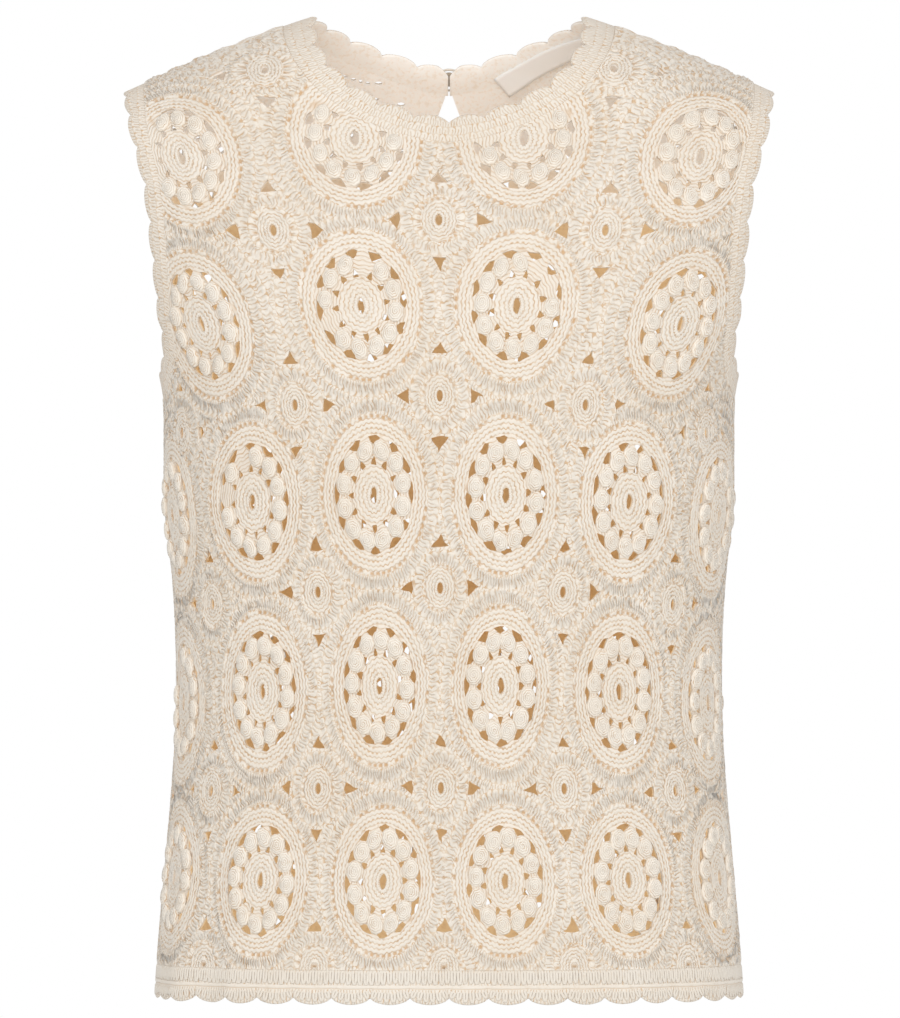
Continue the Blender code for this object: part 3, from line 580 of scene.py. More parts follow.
def medallions_of(face):
    """Every medallion of a face, each worked with its own small turn."""
    chance = np.random.default_rng(SPIN_SEED + face)
    return [
        Motif(np.array(centre), row.half_width, row.half_height, chance.uniform(0, 0.5), None)
        for row in MEDALLIONS for centre in row_places(row, face)
    ]


def rosettes_of(face):
    """Every rosette of a face, with the half sizes of its ground."""
    found = []
    for row in ROSETTES:
        half_width = row.reach_across - ROSETTE_INSET[0]
        half_height = row.reach_up - ROSETTE_INSET[1]
        for centre in row_places(row, face):
            found.append(Motif(np.array(centre), half_width, half_height, 0.0, row.reach_up))
    return found


def oval(centre, half_width, half_height, turns):
    """Places on an oval of the pattern, turning from its top."""
    return np.stack(
        (centre[0] + half_width * np.sin(turns), centre[1] + half_height * np.cos(turns)), axis=-1
    )


def share_of(motif, places):
    """How far places lie from a motif's centre, in its half sizes."""
    return np.hypot(
        (places[:, 0] - motif.centre[0]) / motif.half_width,
        (places[:, 1] - motif.centre[1]) / motif.half_height,
    )


def even_turns(count, spin=0.0):
    """Turns round a motif at an even spacing."""
    return (np.arange(count) + spin) * 2 * math.pi / count


def stitch_rows(places, out, pit_shade):
    """Places with their height out of the cloth and their share of painted pit shade."""
    count = len(places)
    return np.column_stack((places, np.broadcast_to(out, count), np.broadcast_to(pit_shade, count)))


def strays(chance, reach, count):
    """Small random offsets, up to a reach either way."""
    return chance.uniform(-1, 1, count) * reach


def worked_round(centre, half_width, half_height, count, line, chance, dashed=False):
    """One line of a plain round: even lines are the valleys, odd ones the waved yarn."""
    turns = even_turns(count)
    odd = np.arange(count) % 2 == 1
    wave = ROUND_WAVE * np.where(odd, 1, -1) + strays(chance, WAVE_STRAY, count)
    places = oval(centre, half_width, half_height, turns)
    places += np.stack((np.sin(turns), np.cos(turns)), axis=1) * wave[:, None]
    if line % 2:
        return stitch_rows(places, ROUND_RIDGE + strays(chance, ROUND_STRAY, count), 0.0)
    pit_shade = VALLEY_PIT + VALLEY_HOLE_PIT * (chance.uniform(0, 1, count) < VALLEY_HOLE_CHANCE)
    if dashed:
        dashes = odd & (chance.uniform(0, 1, count) < DASH_CHANCE)
        pit_shade = np.where(dashes, DASH_PIT, DASH_EDGE_PIT)
    return stitch_rows(places, ROUND_VALLEY - pit_shade * PIT_SINK, pit_shade)


def worked_disc(centre, hole, disc, rounds, columns, chance):
    """The rounds worked out from a hole to the edge of a disc."""
    lines = []
    for line in range(1, 2 * rounds + 1):
        share = line / (2 * rounds)
        across = hole[0] + (disc[0] - hole[0]) * share
        up = hole[1] + (disc[1] - hole[1]) * share
        count = columns[0] if share < INNER_COLUMNS_END else columns[1]
        lines.append(worked_round(centre, across, up, count, line, chance))
    return lines


def pierced_round(places, open_here, shade):
    """A line of stitches with a small sunk pit, painted with shade, wherever it is open."""
    out = np.where(open_here, PIERCED_OUT, PIERCED_EDGE_OUT)
    return stitch_rows(places, out, np.where(open_here, shade, PIERCED_EDGE_PIT))


def uneven(loop, stray, chance):
    """The same loop with each of its places a little astray, as yarn pulls it."""
    return loop + np.clip(chance.normal(0, stray, loop.shape), -1.6 * stray, 1.6 * stray)


def gap_loop(motif, turn, half_turn, gap, chance):
    """A gap beside a bobble, each one pulled a little out of shape."""
    turn = turn + chance.uniform(-gap.turn_stray, gap.turn_stray)
    half_sizes = np.array((motif.half_width, motif.half_height))
    return np.array([
        oval(motif.centre, *(half_sizes * share), turn + aside * half_turn)
        for share, aside in gap.corners
    ])


def medallion_lace(motif, chance):
    """A medallion's holes and the lines of its disc and its ring."""
    half_width = motif.half_width
    half_height = motif.half_height
    holes = [uneven(oval(motif.centre, *SLIT, even_turns(SLIT_PLACES)), SLIT_STRAY, chance)]
    disc = (DISC_SHARE * half_width, DISC_SHARE * half_height)
    lines = worked_disc(motif.centre, SLIT, disc, DISC_ROUNDS, DISC_COLUMNS, chance)
    for line in range(0, 2 * RING_ROUNDS + 1):
        share = RING_SHARE + (RING_END - RING_SHARE) * line / (2 * RING_ROUNDS)
        lines.append(worked_round(
            motif.centre, half_width * share, half_height * share, RING_COLUMNS, line, chance,
            line == DASHED_LINE,
        ))
    for number in range(BOBBLES):
        between = (number + motif.spin + 0.5) * 2 * math.pi / BOBBLES
        gaps = (INNER_GAP, OUTER_GAP)
        half_turns = [chance.uniform(*gap.spread) * gap.half_turn for gap in gaps]
        loops = [
            gap_loop(motif, between, half_turn, gap, chance) for gap, half_turn in zip(gaps, half_turns)
        ]
        holes += [uneven(loop, gap.stray, chance) for gap, loop in zip(gaps, loops)]
    count = PERFORATION_COLUMNS * PERFORATIONS
    turns = even_turns(count, chance.uniform(0, 1))
    turns = turns + chance.uniform(-PERFORATION_STRAY, PERFORATION_STRAY, count)
    open_here = chance.uniform(0, 1, PERFORATIONS) < PERFORATION_CHANCE
    open_here = np.repeat(open_here, PERFORATION_COLUMNS) & (np.arange(count) % PERFORATION_COLUMNS > 0)
    shade = np.repeat(chance.uniform(*PERFORATION_PITS, PERFORATIONS), PERFORATION_COLUMNS)
    for side in (-PERFORATION_HALF_WIDTH, PERFORATION_HALF_WIDTH):
        share = PERFORATION_SHARE + side + chance.uniform(-PERFORATION_STRAY, PERFORATION_STRAY, count)
        places = oval(motif.centre, half_width * share, half_height * share, turns)
        lines.append(pierced_round(places, open_here, shade))
    return holes, lines


def rosette_lace(motif, chance):
    """A rosette's holes, with the triangular gaps about it, and its plain rounds."""
    if motif.centre[1] < HEM_ROSETTES_BELOW:
        holes = []
        closed = oval(motif.centre, *CLOSED_HOLE, even_turns(CLOSED_PLACES))
        lines = [stitch_rows(closed, CLOSED_OUT, CLOSED_PIT)]
    else:
        holes = [oval(motif.centre, *ROSETTE_HOLE, even_turns(ROSETTE_PLACES))]
        lines = []
    lines += worked_disc(
        motif.centre, ROSETTE_HOLE, ROSETTE_DISC, ROSETTE_ROUNDS, ROSETTE_COLUMNS, chance
    )
    turns = even_turns(ROSETTE_DOT_COLUMNS, chance.uniform(0, 1))
    dotted = oval(motif.centre, ROSETTE_DISC[0] * ROSETTE_DOTS, ROSETTE_DISC[1] * ROSETTE_DOTS, turns)
    open_here = np.arange(ROSETTE_DOT_COLUMNS) % 2 == 1
    open_here &= chance.uniform(0, 1, ROSETTE_DOT_COLUMNS) < DOT_CHANCE
    lines.append(pierced_round(dotted, open_here, DOT_PIT))
    reach_across = motif.half_width + ROSETTE_INSET[0]
    for way in ((0, 1), (1, 0), (0, -1), (-1, 0)):
        out = np.array(way, float)
        aside = np.array((way[1], -way[0]), float)
        middle = motif.centre + out * (reach_across if way[0] else motif.reach_up)
        base = GAP_BASE / 2 * chance.uniform(*GAP_BASES)
        tall = GAP_HEIGHT / 2 * chance.uniform(*GAP_HEIGHTS)
        lean = chance.uniform(-GAP_LEAN, GAP_LEAN)
        gap = np.array([
            middle + out * tall * up + aside * (base * side + lean * (up + 1) / 2)
            for up, side in GAP_CORNERS
        ])
        holes.append(uneven(gap, GAP_STRAY, chance))
    return holes, lines


def ground_start(half_width, half_height):
    """Where the posts round a rosette start, in its half sizes."""
    return ROSETTE_GROUND * np.maximum(ROSETTE_DISC[0] / half_width, ROSETTE_DISC[1] / half_height)


def worked_ground(motif, first, last, level, stitches, chance):
    """The tall stitches round a motif: a waved chain, then posts side by side, and again."""
    rows = []
    columns = 2 * stitches
    odd = np.arange(columns) % 2 == 1
    share = first
    line = 0
    while share < last:
        kind = line % 4
        turns = even_turns(columns, POST_CURL * math.sin(line * math.pi / 2))
        places = oval(motif.centre, motif.half_width * share, motif.half_height * share, turns)
        if kind == 0:
            out = POST_RIDGE + strays(chance, CHAIN_STRAY, columns)
            wave = np.where(odd, CHAIN_WAVE, -CHAIN_WAVE)
            places += np.stack((np.sin(turns), np.cos(turns)), axis=1) * wave[:, None]
            rows.append(stitch_rows(places, out, 0.0))
        else:
            out = np.where(odd, POST_VALLEY, POST_RIDGE) + strays(chance, POST_STRAY, columns)
            deep = odd & (chance.uniform(0, 1, columns) < DEEP_CHANCE[kind])
            pit_shade = np.where(odd, POST_PIT, 0.0) + deep * DEEP_PIT
            rows.append(stitch_rows(places, out - deep * DEEP_SINK, pit_shade))
        share += level
        line += 1
    return np.concatenate(rows)


def inside_of(loop, places):
    """Which places lie inside a closed loop of the pattern."""
    within = np.zeros(len(places), bool)
    low = loop.min(axis=0)
    high = loop.max(axis=0)
    near = np.flatnonzero(np.all((places > low) & (places < high), axis=1))
    if len(near):
        across, height = places[near].T
        count = np.zeros(len(near), int)
        for start, end in zip(loop, np.roll(loop, -1, axis=0)):
            crosses = (start[1] > height) != (end[1] > height)
            rise = end[1] - start[1]
            if rise:
                crossing = start[0] + (height - start[1]) * (end[0] - start[0]) / rise
                count += crosses & (across < crossing)
        within[near] = count % 2 == 1
    return within


def distances_to(loops, places, step):
    """Distance from each place to the nearest of the loops."""
    marks = np.concatenate([
        resampled(np.concatenate((loop, loop[:1])), step)[:-1] for loop in loops
    ])
    tree = KDTree(len(marks))
    for index, (across, height) in enumerate(marks):
        tree.insert((across, height, 0.0), index)
    tree.balance()
    return np.array([tree.find((across, height, 0.0))[2] for across, height in places])


def overlap(loop, other):
    """Whether one of two loops has a place within the other."""
    return inside_of(loop, other).any() or inside_of(other, loop).any()


def kept_apart(holes):
    """The holes, without those that would run into one that is already there."""
    kept = []
    for hole in holes:
        middle = hole.mean(axis=0)
        near = [other for other in kept if np.linalg.norm(other.mean(axis=0) - middle) < HOLE_REACH]
        clear = not near or distances_to(near, hole, NEAR_MARKS).min() > CLEAR_OF_HOLE
        if clear and not any(overlap(hole, other) for other in near):
            kept.append(hole)
    return kept


def holes_within(outline, holes):
    """The holes that lie whole and clear within an outline."""
    within = [hole for hole in kept_apart(holes) if inside_of(outline, hole).all()]
    spread = distances_to([outline], np.concatenate(within), EDGE_MARKS)
    starts = np.cumsum([0] + [len(hole) for hole in within])
    return [hole for hole, a, b in zip(within, starts, starts[1:]) if spread[a:b].min() > CLEAR_OF_EDGE]


def stitches_within(outline, holes, stitches):
    """The stitches within an outline, clear of its edge, of the holes and of each other."""
    kept = stitches[inside_of(outline, stitches[:, :2])]
    cells = np.round(kept[:, :2] / STITCH_SPACING).astype(int)
    _, first_of = np.unique(cells, axis=0, return_index=True)
    kept = kept[np.sort(first_of)]
    for hole in holes:
        kept = kept[~inside_of(hole, kept[:, :2])]
    kept = kept[distances_to([outline], kept[:, :2], EDGE_MARKS) > CLEAR_OF_HOLE]
    return kept[distances_to(holes, kept[:, :2], HOLE_MARKS) > CLEAR_OF_HOLE * STITCH_CLEAR_SHARE]


def lace_of(face, outline):
    """All that is worked within an outline: the holes and the raised lines."""
    chance = np.random.default_rng(LACE_SEED + face)
    medallions = medallions_of(face)
    rosettes = rosettes_of(face)
    holes = []
    lines = []
    for motifs, lace in ((medallions, medallion_lace), (rosettes, rosette_lace)):
        for motif in motifs:
            more_holes, rounds = lace(motif, chance)
            holes += more_holes
            lines += rounds
    for motif in medallions:
        ground = worked_ground(motif, GROUND_SHARE, GROUND_END, GROUND_LEVEL, GROUND_STITCHES, chance)
        places = ground[:, :2]
        own = share_of(motif, places)
        keep = np.all([
            own < share_of(other, places) - MEDALLIONS_APART
            for other in medallions if other is not motif
        ], axis=0)
        for other in rosettes:
            keep &= share_of(other, places) > ROSETTE_EDGE
        lines.append(ground[keep])
    for motif in rosettes:
        start = ground_start(motif.half_width, motif.half_height)
        ground = worked_ground(motif, start, 1.0, ROSETTE_LEVEL, ROSETTE_STITCHES, chance)
        keep = np.all([share_of(other, ground[:, :2]) > MEDALLION_EDGE for other in medallions], axis=0)
        lines.append(ground[keep])
    if face == BACK:
        turns = even_turns(EYELET_PLACES)
        eyelets = [oval(pattern_places(x, z), across, up, turns) for x, z, across, up in EYELETS]
        holes = eyelets + holes
    holes = holes_within(outline, holes)
    return holes, stitches_within(outline, holes, np.concatenate(lines))


def pattern_triangles(loops, points):
    """Triangles over the first loop, round the others and through the points."""
    places = np.concatenate(loops + [points])
    owner = np.full(len(places), -1)
    edges = []
    first = 0
    for number, loop in enumerate(loops):
        count = len(loop)
        edges += [(first + i, first + (i + 1) % count) for i in range(count)]
        owner[first:first + count] = number
        first += count
    coords = [Vector(place) for place in places.tolist()]
    _, _, faces, originals, _, _ = delaunay_2d_cdt(coords, edges, [], 0, 1e-7, True)
    source = np.array([original[0] if original else -1 for original in originals])
    faces = source[np.array(faces)]
    owners = owner[faces]
    one_loop = (owners[:, 0] >= 0) & np.all(owners == owners[:, :1], axis=1)
    left_out = (faces < 0).any(axis=1)
    around = np.flatnonzero(one_loop)
    for number in np.unique(owners[around, 0]):
        these = around[owners[around, 0] == number]
        within = inside_of(loops[number], places[faces[these]].mean(axis=1))
        left_out[these] |= within if number else ~within
    return faces[~left_out]


def plain_grid(outline, step):
    """A sparse grid of places inside an outline, to keep the cloth's curve."""
    low = outline.min(axis=0)
    high = outline.max(axis=0)
    across, height = (np.arange(start, end, step) for start, end in zip(low, high))
    grid = np.stack(np.meshgrid(across, height), axis=-1).reshape(-1, 2)
    return grid[inside_of(outline, grid)]


def slit_share(half_sizes, hole, turn):
    """Where the hole in a motif's middle ends at a turn, in the motif's half sizes."""
    across = half_sizes[0] * np.sin(turn) / hole[0]
    up = half_sizes[1] * np.cos(turn) / hole[1]
    return 1 / np.hypot(across, up)


def stitch_maps(face, places, triangles):
    """How the cloth is worked at each corner of the triangles: along and across its
    round, its post and its row of posts, and for each triangle 1 where it is posts."""
    corners = places[triangles]
    middle = corners.mean(axis=1)
    medallions = medallions_of(face)
    shares = np.stack([share_of(motif, middle) for motif in medallions], axis=1)
    owner = np.argmin(shares, axis=1)
    nearest = shares.min(axis=1)
    centres = np.array([motif.centre for motif in medallions])[owner]
    halves = np.array([(motif.half_width, motif.half_height) for motif in medallions])[owner]
    discs = halves * DISC_SHARE
    holes = np.broadcast_to(SLIT, discs.shape).copy()
    rosette = np.zeros(len(middle), bool)
    for motif in rosettes_of(face):
        here = (share_of(motif, middle) < ROSETTE_EDGE) & (nearest > MEDALLION_EDGE)
        rosette |= here
        centres[here] = motif.centre
        halves[here] = (motif.half_width, motif.half_height)
        discs[here] = ROSETTE_DISC
        holes[here] = ROSETTE_HOLE

    def polar(points, sizes):
        way = (points - centres) / sizes
        return np.hypot(way[:, 0], way[:, 1]), np.arctan2(way[:, 0], way[:, 1])

    share, middle_turn = polar(middle, halves)
    disc_share, _ = polar(middle, discs)
    in_disc = disc_share < 1
    medallion_posts = share > (PERFORATION_SHARE + GROUND_SHARE) / 2
    in_posts = np.where(rosette, disc_share > ROSETTE_POSTS, medallion_posts)
    in_ring = ~in_disc & ~in_posts & (share > RING_SHARE)
    rounds = np.zeros(corners.shape)
    posts = np.zeros(corners.shape)
    first = np.where(rosette, ground_start(halves[:, 0], halves[:, 1]), GROUND_SHARE)
    level = np.where(rosette, ROSETTE_LEVEL, GROUND_LEVEL)
    stitches = np.where(rosette, ROSETTE_STITCHES, GROUND_STITCHES)
    disc_waves = np.where(rosette, ROSETTE_COLUMNS[1] / 2, DISC_COLUMNS[1] / 2)
    waves = np.where(in_ring, RING_COLUMNS / 2, disc_waves)
    for corner in range(3):
        at, turn = polar(corners[:, corner], halves)
        turn = middle_turn + (turn - middle_turn + math.pi) % (2 * math.pi) - math.pi
        inner, _ = polar(corners[:, corner], discs)
        start = slit_share(discs.T, holes.T, turn)
        worked = DISC_ROUNDS * (inner - start) / (1 - start)
        ring = RING_ROUNDS * (at - RING_SHARE) / (RING_END - RING_SHARE)
        between = (at - DISC_SHARE) * OPEN_ROUNDS
        rounds[:, corner, 0] = turn * waves / (2 * math.pi)
        rounds[:, corner, 1] = np.where(in_disc, worked, np.where(in_ring, ring, between))
        row = (at - first) / (4 * level)
        curl = POST_CURL / 2 * np.sin(row * 2 * math.pi)
        posts[:, corner, 0] = turn * stitches / (2 * math.pi) - curl
        posts[:, corner, 1] = row
    return rounds, posts, in_posts.astype(float)


def set_stitch_maps(mesh, rounds, posts, in_posts):
    """Keep how the cloth is worked with its mesh, for the material to read."""
    for name, values in (("rounds", rounds), ("posts", posts)):
        layer = mesh.uv_layers.new(name=name)
        whole = np.zeros((len(mesh.loops), 2), np.float32)
        whole[:len(values)] = values
        layer.uv.foreach_set("vector", whole.ravel())
    worked = mesh.attributes.new("worked", "FLOAT", "FACE")
    whole = np.zeros(len(mesh.polygons), np.float32)
    whole[:len(in_posts)] = in_posts
    worked.data.foreach_set("value", whole)


def shoulder_waves(places):
    """The low scallops in which the front and the back are joined over the shoulder."""
    across, height = places.T
    x = form_points(FRONT, across, height)[:, 0]
    below = shoulder_height(x) + CREST_CLOTH - CREST_DROP - height
    wave = SHOULDER_WAVE * np.abs(np.sin(math.pi * across / SHOULDER_WAVE_PITCH))
    return wave * np.exp(-(below / SHOULDER_WAVE_REACH) ** 2)


def new_object(name, points, faces, depth):
    """An object for a mesh of points and faces, smooth, with its depth marked: its share of painted pit
    shade, or INSIDE for the painted shade of the inner face.
    """
    mesh = bpy.data.meshes.new(name)
    mesh.from_pydata(points.tolist(), [], faces)
    mesh.shade_smooth()
    mark = mesh.attributes.new("depth", "FLOAT", "POINT")
    mark.data.foreach_set("value", np.asarray(depth, np.float32))
    made = bpy.data.objects.new(name, mesh)
    scene.collection.objects.link(made)
    return made


def mark_sharp(mesh, edges):
    """Mark edges, given as pairs of points, where the cloth turns over into a gap's wall."""
    ends = np.empty(2 * len(mesh.edges), np.int64)
    mesh.edges.foreach_get("vertices", ends)
    key = (len(mesh.vertices), 1)
    sharp = np.isin(np.sort(ends.reshape(-1, 2)) @ key, np.sort(edges) @ key)
    mesh.attributes.new("sharp_edge", "BOOLEAN", "EDGE").data.foreach_set("value", sharp)


def goes_clockwise(loop):
    """Whether a closed loop of the pattern goes round clockwise."""
    after = np.roll(loop, -1, axis=0)
    return np.sum((after[:, 0] - loop[:, 0]) * (after[:, 1] + loop[:, 1])) > 0


def make_shell(name, face, outline):
    """One stretch of lace as a closed shell with its stitches raised on the outer face."""
    holes, lines = lace_of(face, outline)
    loops = [outline] + holes
    rim = np.concatenate(loops)
    plain = plain_grid(outline, PLAIN_STEP)
    plain = plain[distances_to(loops, plain, PLAIN_MARKS) > PLAIN_CLEAR]
    for hole in holes:
        plain = plain[~inside_of(hole, plain)]
    outer = np.concatenate((rim, lines[:, :2]))
    outer_out = np.concatenate((np.full(len(rim), RIM_OUT), lines[:, 2])) + shoulder_waves(outer)
    outer_pit_shade = np.concatenate((np.full(len(rim), RIM_PIT), lines[:, 3]))
    outer_pit_shade[:len(outline)] = EDGE_PIT
    inner = np.concatenate((rim, plain))
    points = np.concatenate((
        cloth_points(face, outer, outer_out), cloth_points(face, inner, -WALL)
    ))
    depth = np.concatenate((outer_pit_shade, np.full(len(inner), INSIDE)))
    outer_faces = pattern_triangles(loops, lines[:, :2])
    inner_faces = pattern_triangles(loops, plain)[:, ::-1] + len(outer)
    if face == BACK:
        outer_faces = outer_faces[:, ::-1]
        inner_faces = inner_faces[:, ::-1]
    walls = []
    rims = []
    first = 0
    for number, loop in enumerate(loops):
        here = first + np.arange(len(loop))
        there = first + (np.arange(len(loop)) + 1) % len(loop)
        if (goes_clockwise(loop) == (number == 0)) != (face == BACK):
            here, there = there, here
        walls.append(np.column_stack((here, there, there + len(outer))))
        walls.append(np.column_stack((here, there + len(outer), here + len(outer))))
        rims += [np.column_stack((here, there)), np.column_stack((here, there)) + len(outer)]
        first += len(loop)
    faces = np.concatenate([outer_faces, inner_faces] + walls)
    made = new_object(name, points, faces.tolist(), depth)
    mark_sharp(made.data, np.concatenate(rims))
    rounds, posts, in_posts = stitch_maps(face, outer, outer_faces)
    set_stitch_maps(made.data, rounds.reshape(-1, 2), posts.reshape(-1, 2), in_posts)
    return made


CUT_ROW = 3                    # of the rosette rows, the one that the cut runs under
CUT_PLACES = 300
CUT_OVERLAP = (0.0030, 0.0050)               # how far the cut runs within a rosette's reach
CUT_ROUND_GAP = (0.0054, 0.0058)


def cut_line(face):
    """Where the upper and the lower half of a panel meet, from left to right: under the
    rosettes of the fourth row and the gaps at their sides."""
    row = ROSETTES[CUT_ROW]
    side = QUARTER_ROUND - SEAM_GAP / 2
    across = np.linspace(-side, side, CUT_PLACES)
    dip = np.zeros_like(across)
    for centre in row_places(row, face):
        for middle, half_width, depth in (
            (centre[0], row.reach_across - CUT_OVERLAP[0], row.reach_up - CUT_OVERLAP[1]),
            (centre[0] - row.reach_across, *CUT_ROUND_GAP),
            (centre[0] + row.reach_across, *CUT_ROUND_GAP),
        ):
            aside = np.clip(np.abs(across - middle) / half_width, 0, 1)
            dip = np.maximum(dip, depth * np.sqrt(1 - aside ** 2))
    height = row.height - row.droop * (across / QUARTER_ROUND) ** 2 - dip
    return np.stack((across, height), axis=1)


def keyhole_line(top):
    """The right side of the keyhole's drop shape, from its foot up to the neck seam."""
    down = (1 - np.cos(np.linspace(math.pi, 0, KEYHOLE_PLACES))) / 2
    drop = np.sin(math.pi * down ** KEYHOLE_FULLNESS)
    half_width = KEYHOLE_SLIT / 2 + KEYHOLE_HALF_WIDTH * drop
    half_width[0] = 0.0
    return np.stack((half_width, top[1] - KEYHOLE_LENGTH * down), axis=1)


def half_outline(face, upper):
    """The edge of a panel's upper or lower half, clockwise."""
    side = QUARTER_ROUND - SEAM_GAP / 2
    middle = resampled(cut_line(face), EDGE_STEP)
    if not upper:
        corner = (side, HEM_SEAM + SEAM_GAP / 2)
        right = resampled(np.array((middle[-1], corner)), EDGE_STEP)
        hem = resampled(np.array((corner, (-side, corner[1]))), EDGE_STEP)
        return np.concatenate((middle[:-1], right[:-1], hem[:-1], mirrored(right)[::-1][:-1]))
    neck_way = NECK_SEAM[face] - NECK_FREE[face]
    neck = NECK_SEAM[face] + neck_way * SEAM_GAP / 2 / NECK_BAND_WIDTH
    arm_way = ARMHOLE_SEAM - ARMHOLE_FREE
    arm = ARMHOLE_SEAM + arm_way * SEAM_GAP / 2 / ARMHOLE_BAND_WIDTH
    arm[0] = (side, arm[0][1])
    if face == BACK:
        start = int(np.argmax(neck[:, 0] > KEYHOLE_SLIT / 2))
        neck = np.concatenate((keyhole_line(neck[start]), neck[start + 1:]))
    neck = resampled(neck, EDGE_STEP)
    arm = resampled(arm, EDGE_STEP)
    ridge = np.array([ridge_at(at) for at in np.linspace(neck[-1][0], arm[-1][0], RIDGE_PLACES)])
    ridge = resampled(ridge, EDGE_STEP)
    ridge[:, 1] -= SEAM_GAP / 2
    right = resampled(np.array((arm[0], middle[-1])), EDGE_STEP)
    right_side = np.concatenate((neck[1:-1], ridge[:-1], arm[::-1][:-1], right[:-1]))
    return np.concatenate((right_side, middle[::-1][:-1], mirrored(right_side)[::-1], neck[:1]))


# Crochet cotton: a soft matt yarn of several plies. The light catches the top of each
# strand, and the valleys between strands and the pits between stitches are painted a warm
# tan shade.
def placed(tree, kind, inputs=None, **settings):
    """The outputs of a new node, with a value or a link for each input that is given."""
    made = tree.nodes.new(kind)
    for name, value in settings.items():
        setattr(made, name, value)
    for key, value in (inputs or {}).items():
        if isinstance(value, bpy.types.NodeSocket):
            tree.links.new(value, made.inputs[key])
        else:
            made.inputs[key].default_value = value
    return made.outputs


def node_maker(group):
    """Short ways to place the few kinds of node that the cotton is made of."""
    place = placed(group, "ShaderNodeTexCoord")["Object"]

    def maths(operation, *values):
        return placed(group, "ShaderNodeMath", dict(enumerate(values)), operation=operation)[0]

    def ramp(value, low, high, start=0.0, end=1.0):
        inputs = dict(enumerate((value, low, high, start, end)))
        return placed(group, "ShaderNodeMapRange", inputs, interpolation_type="SMOOTHSTEP")["Result"]

    def mixed(blend, share, first, second):
        inputs = {0: share, 6: first, 7: second}
        return placed(group, "ShaderNodeMix", inputs, data_type="RGBA", blend_type=blend)[2]

    def noise(scale, detail, output="Fac"):
        inputs = {"Scale": scale, "Detail": detail, "Vector": place}
        return placed(group, "ShaderNodeTexNoise", inputs)[output]

    def parts(vector=place):
        split = placed(group, "ShaderNodeSeparateXYZ", {0: vector})
        return split["X"], split["Y"], split["Z"]

    return maths, ramp, mixed, noise, parts


def new_group(name, kind, inputs, outputs):
    """A node group with named inputs and outputs, and its two end nodes."""
    group = bpy.data.node_groups.new(name, kind)
    for socket_name, socket_kind, value in inputs:
        socket = group.interface.new_socket(
            socket_name, in_out="INPUT", socket_type="NodeSocket" + socket_kind
        )
        if value is not None:
            socket.default_value = value
    for socket_name, socket_kind in outputs:
        group.interface.new_socket(
            socket_name, in_out="OUTPUT", socket_type="NodeSocket" + socket_kind
        )
    return group, group.nodes.new("NodeGroupInput"), group.nodes.new("NodeGroupOutput")


def strands_group():
    """A node group for how the strands lie: waved rounds, or rows of looped stitches."""
    group, given, result = new_group("crochet_strands", "ShaderNodeTree", (
        ("Rounds", "Vector", (0, 0, 0)),
        ("Posts", "Vector", (0, 0, 0)),
        ("Worked", "Float", 0.0),
        ("Wave", "Float", 0.14),
        ("Curl", "Float", 1.9),
    ), (("Relief", "Float"),))
    maths, ramp, _, noise, parts = node_maker(group)
    worked = given.outputs["Worked"]
    curl = given.outputs["Curl"]

    def raised(share):
        """A rounded ridge in the middle of each whole share."""
        return maths("MULTIPLY_ADD", maths("COSINE", maths("MULTIPLY", share, 2 * math.pi)), -0.5, 0.5)

    along, across, _ = parts(given.outputs["Rounds"])
    post, row, _ = parts(given.outputs["Posts"])
    pull = parts(noise(190.0, 1.5, "Color"))
    pull_along, pull_up = (maths("SUBTRACT", value, 0.5) for value in pull[:2])

    # Rounds: a ridge for each strand, waved where the stitches pull it.
    turn = maths("COSINE", maths("MULTIPLY", along, 2 * math.pi))
    wave = maths("MULTIPLY", turn, given.outputs["Wave"])
    rounds = raised(maths("ADD", maths("ADD", across, wave), maths("MULTIPLY", pull_up, 0.9)))

    # Posts: each stitch is a strand that goes up, turns over and comes down again.
    column = maths("ADD", post, maths("MULTIPLY", pull_along, curl))
    line = maths("ADD", row, maths("MULTIPLY", pull_up, maths("MULTIPLY", curl, 0.32)))
    offset = maths("MULTIPLY", maths("FLOOR", line), 0.5)
    place = maths("FRACT", maths("ADD", maths("MULTIPLY", column, 0.5), offset))
    from_middle = maths("ABSOLUTE", maths("SUBTRACT", place, 0.5))
    up = maths("FRACT", line)
    over = maths("MULTIPLY", maths("MAXIMUM", maths("SUBTRACT", up, 0.60), 0.0), 2.2)
    aside = maths("MULTIPLY", from_middle, 2.0)
    reach = maths("SQRT", maths("ADD", maths("POWER", aside, 2.0), maths("POWER", over, 2.0)))
    loops = maths("MULTIPLY", raised(maths("MINIMUM", reach, 1.0)), ramp(up, 0.0, 0.10, 0.35, 1.0))

    plain = maths("MULTIPLY", rounds, maths("SUBTRACT", 1.0, worked))
    both = maths("ADD", plain, maths("MULTIPLY", loops, worked))
    group.links.new(maths("POWER", both, 0.55), result.inputs["Relief"])
    return group


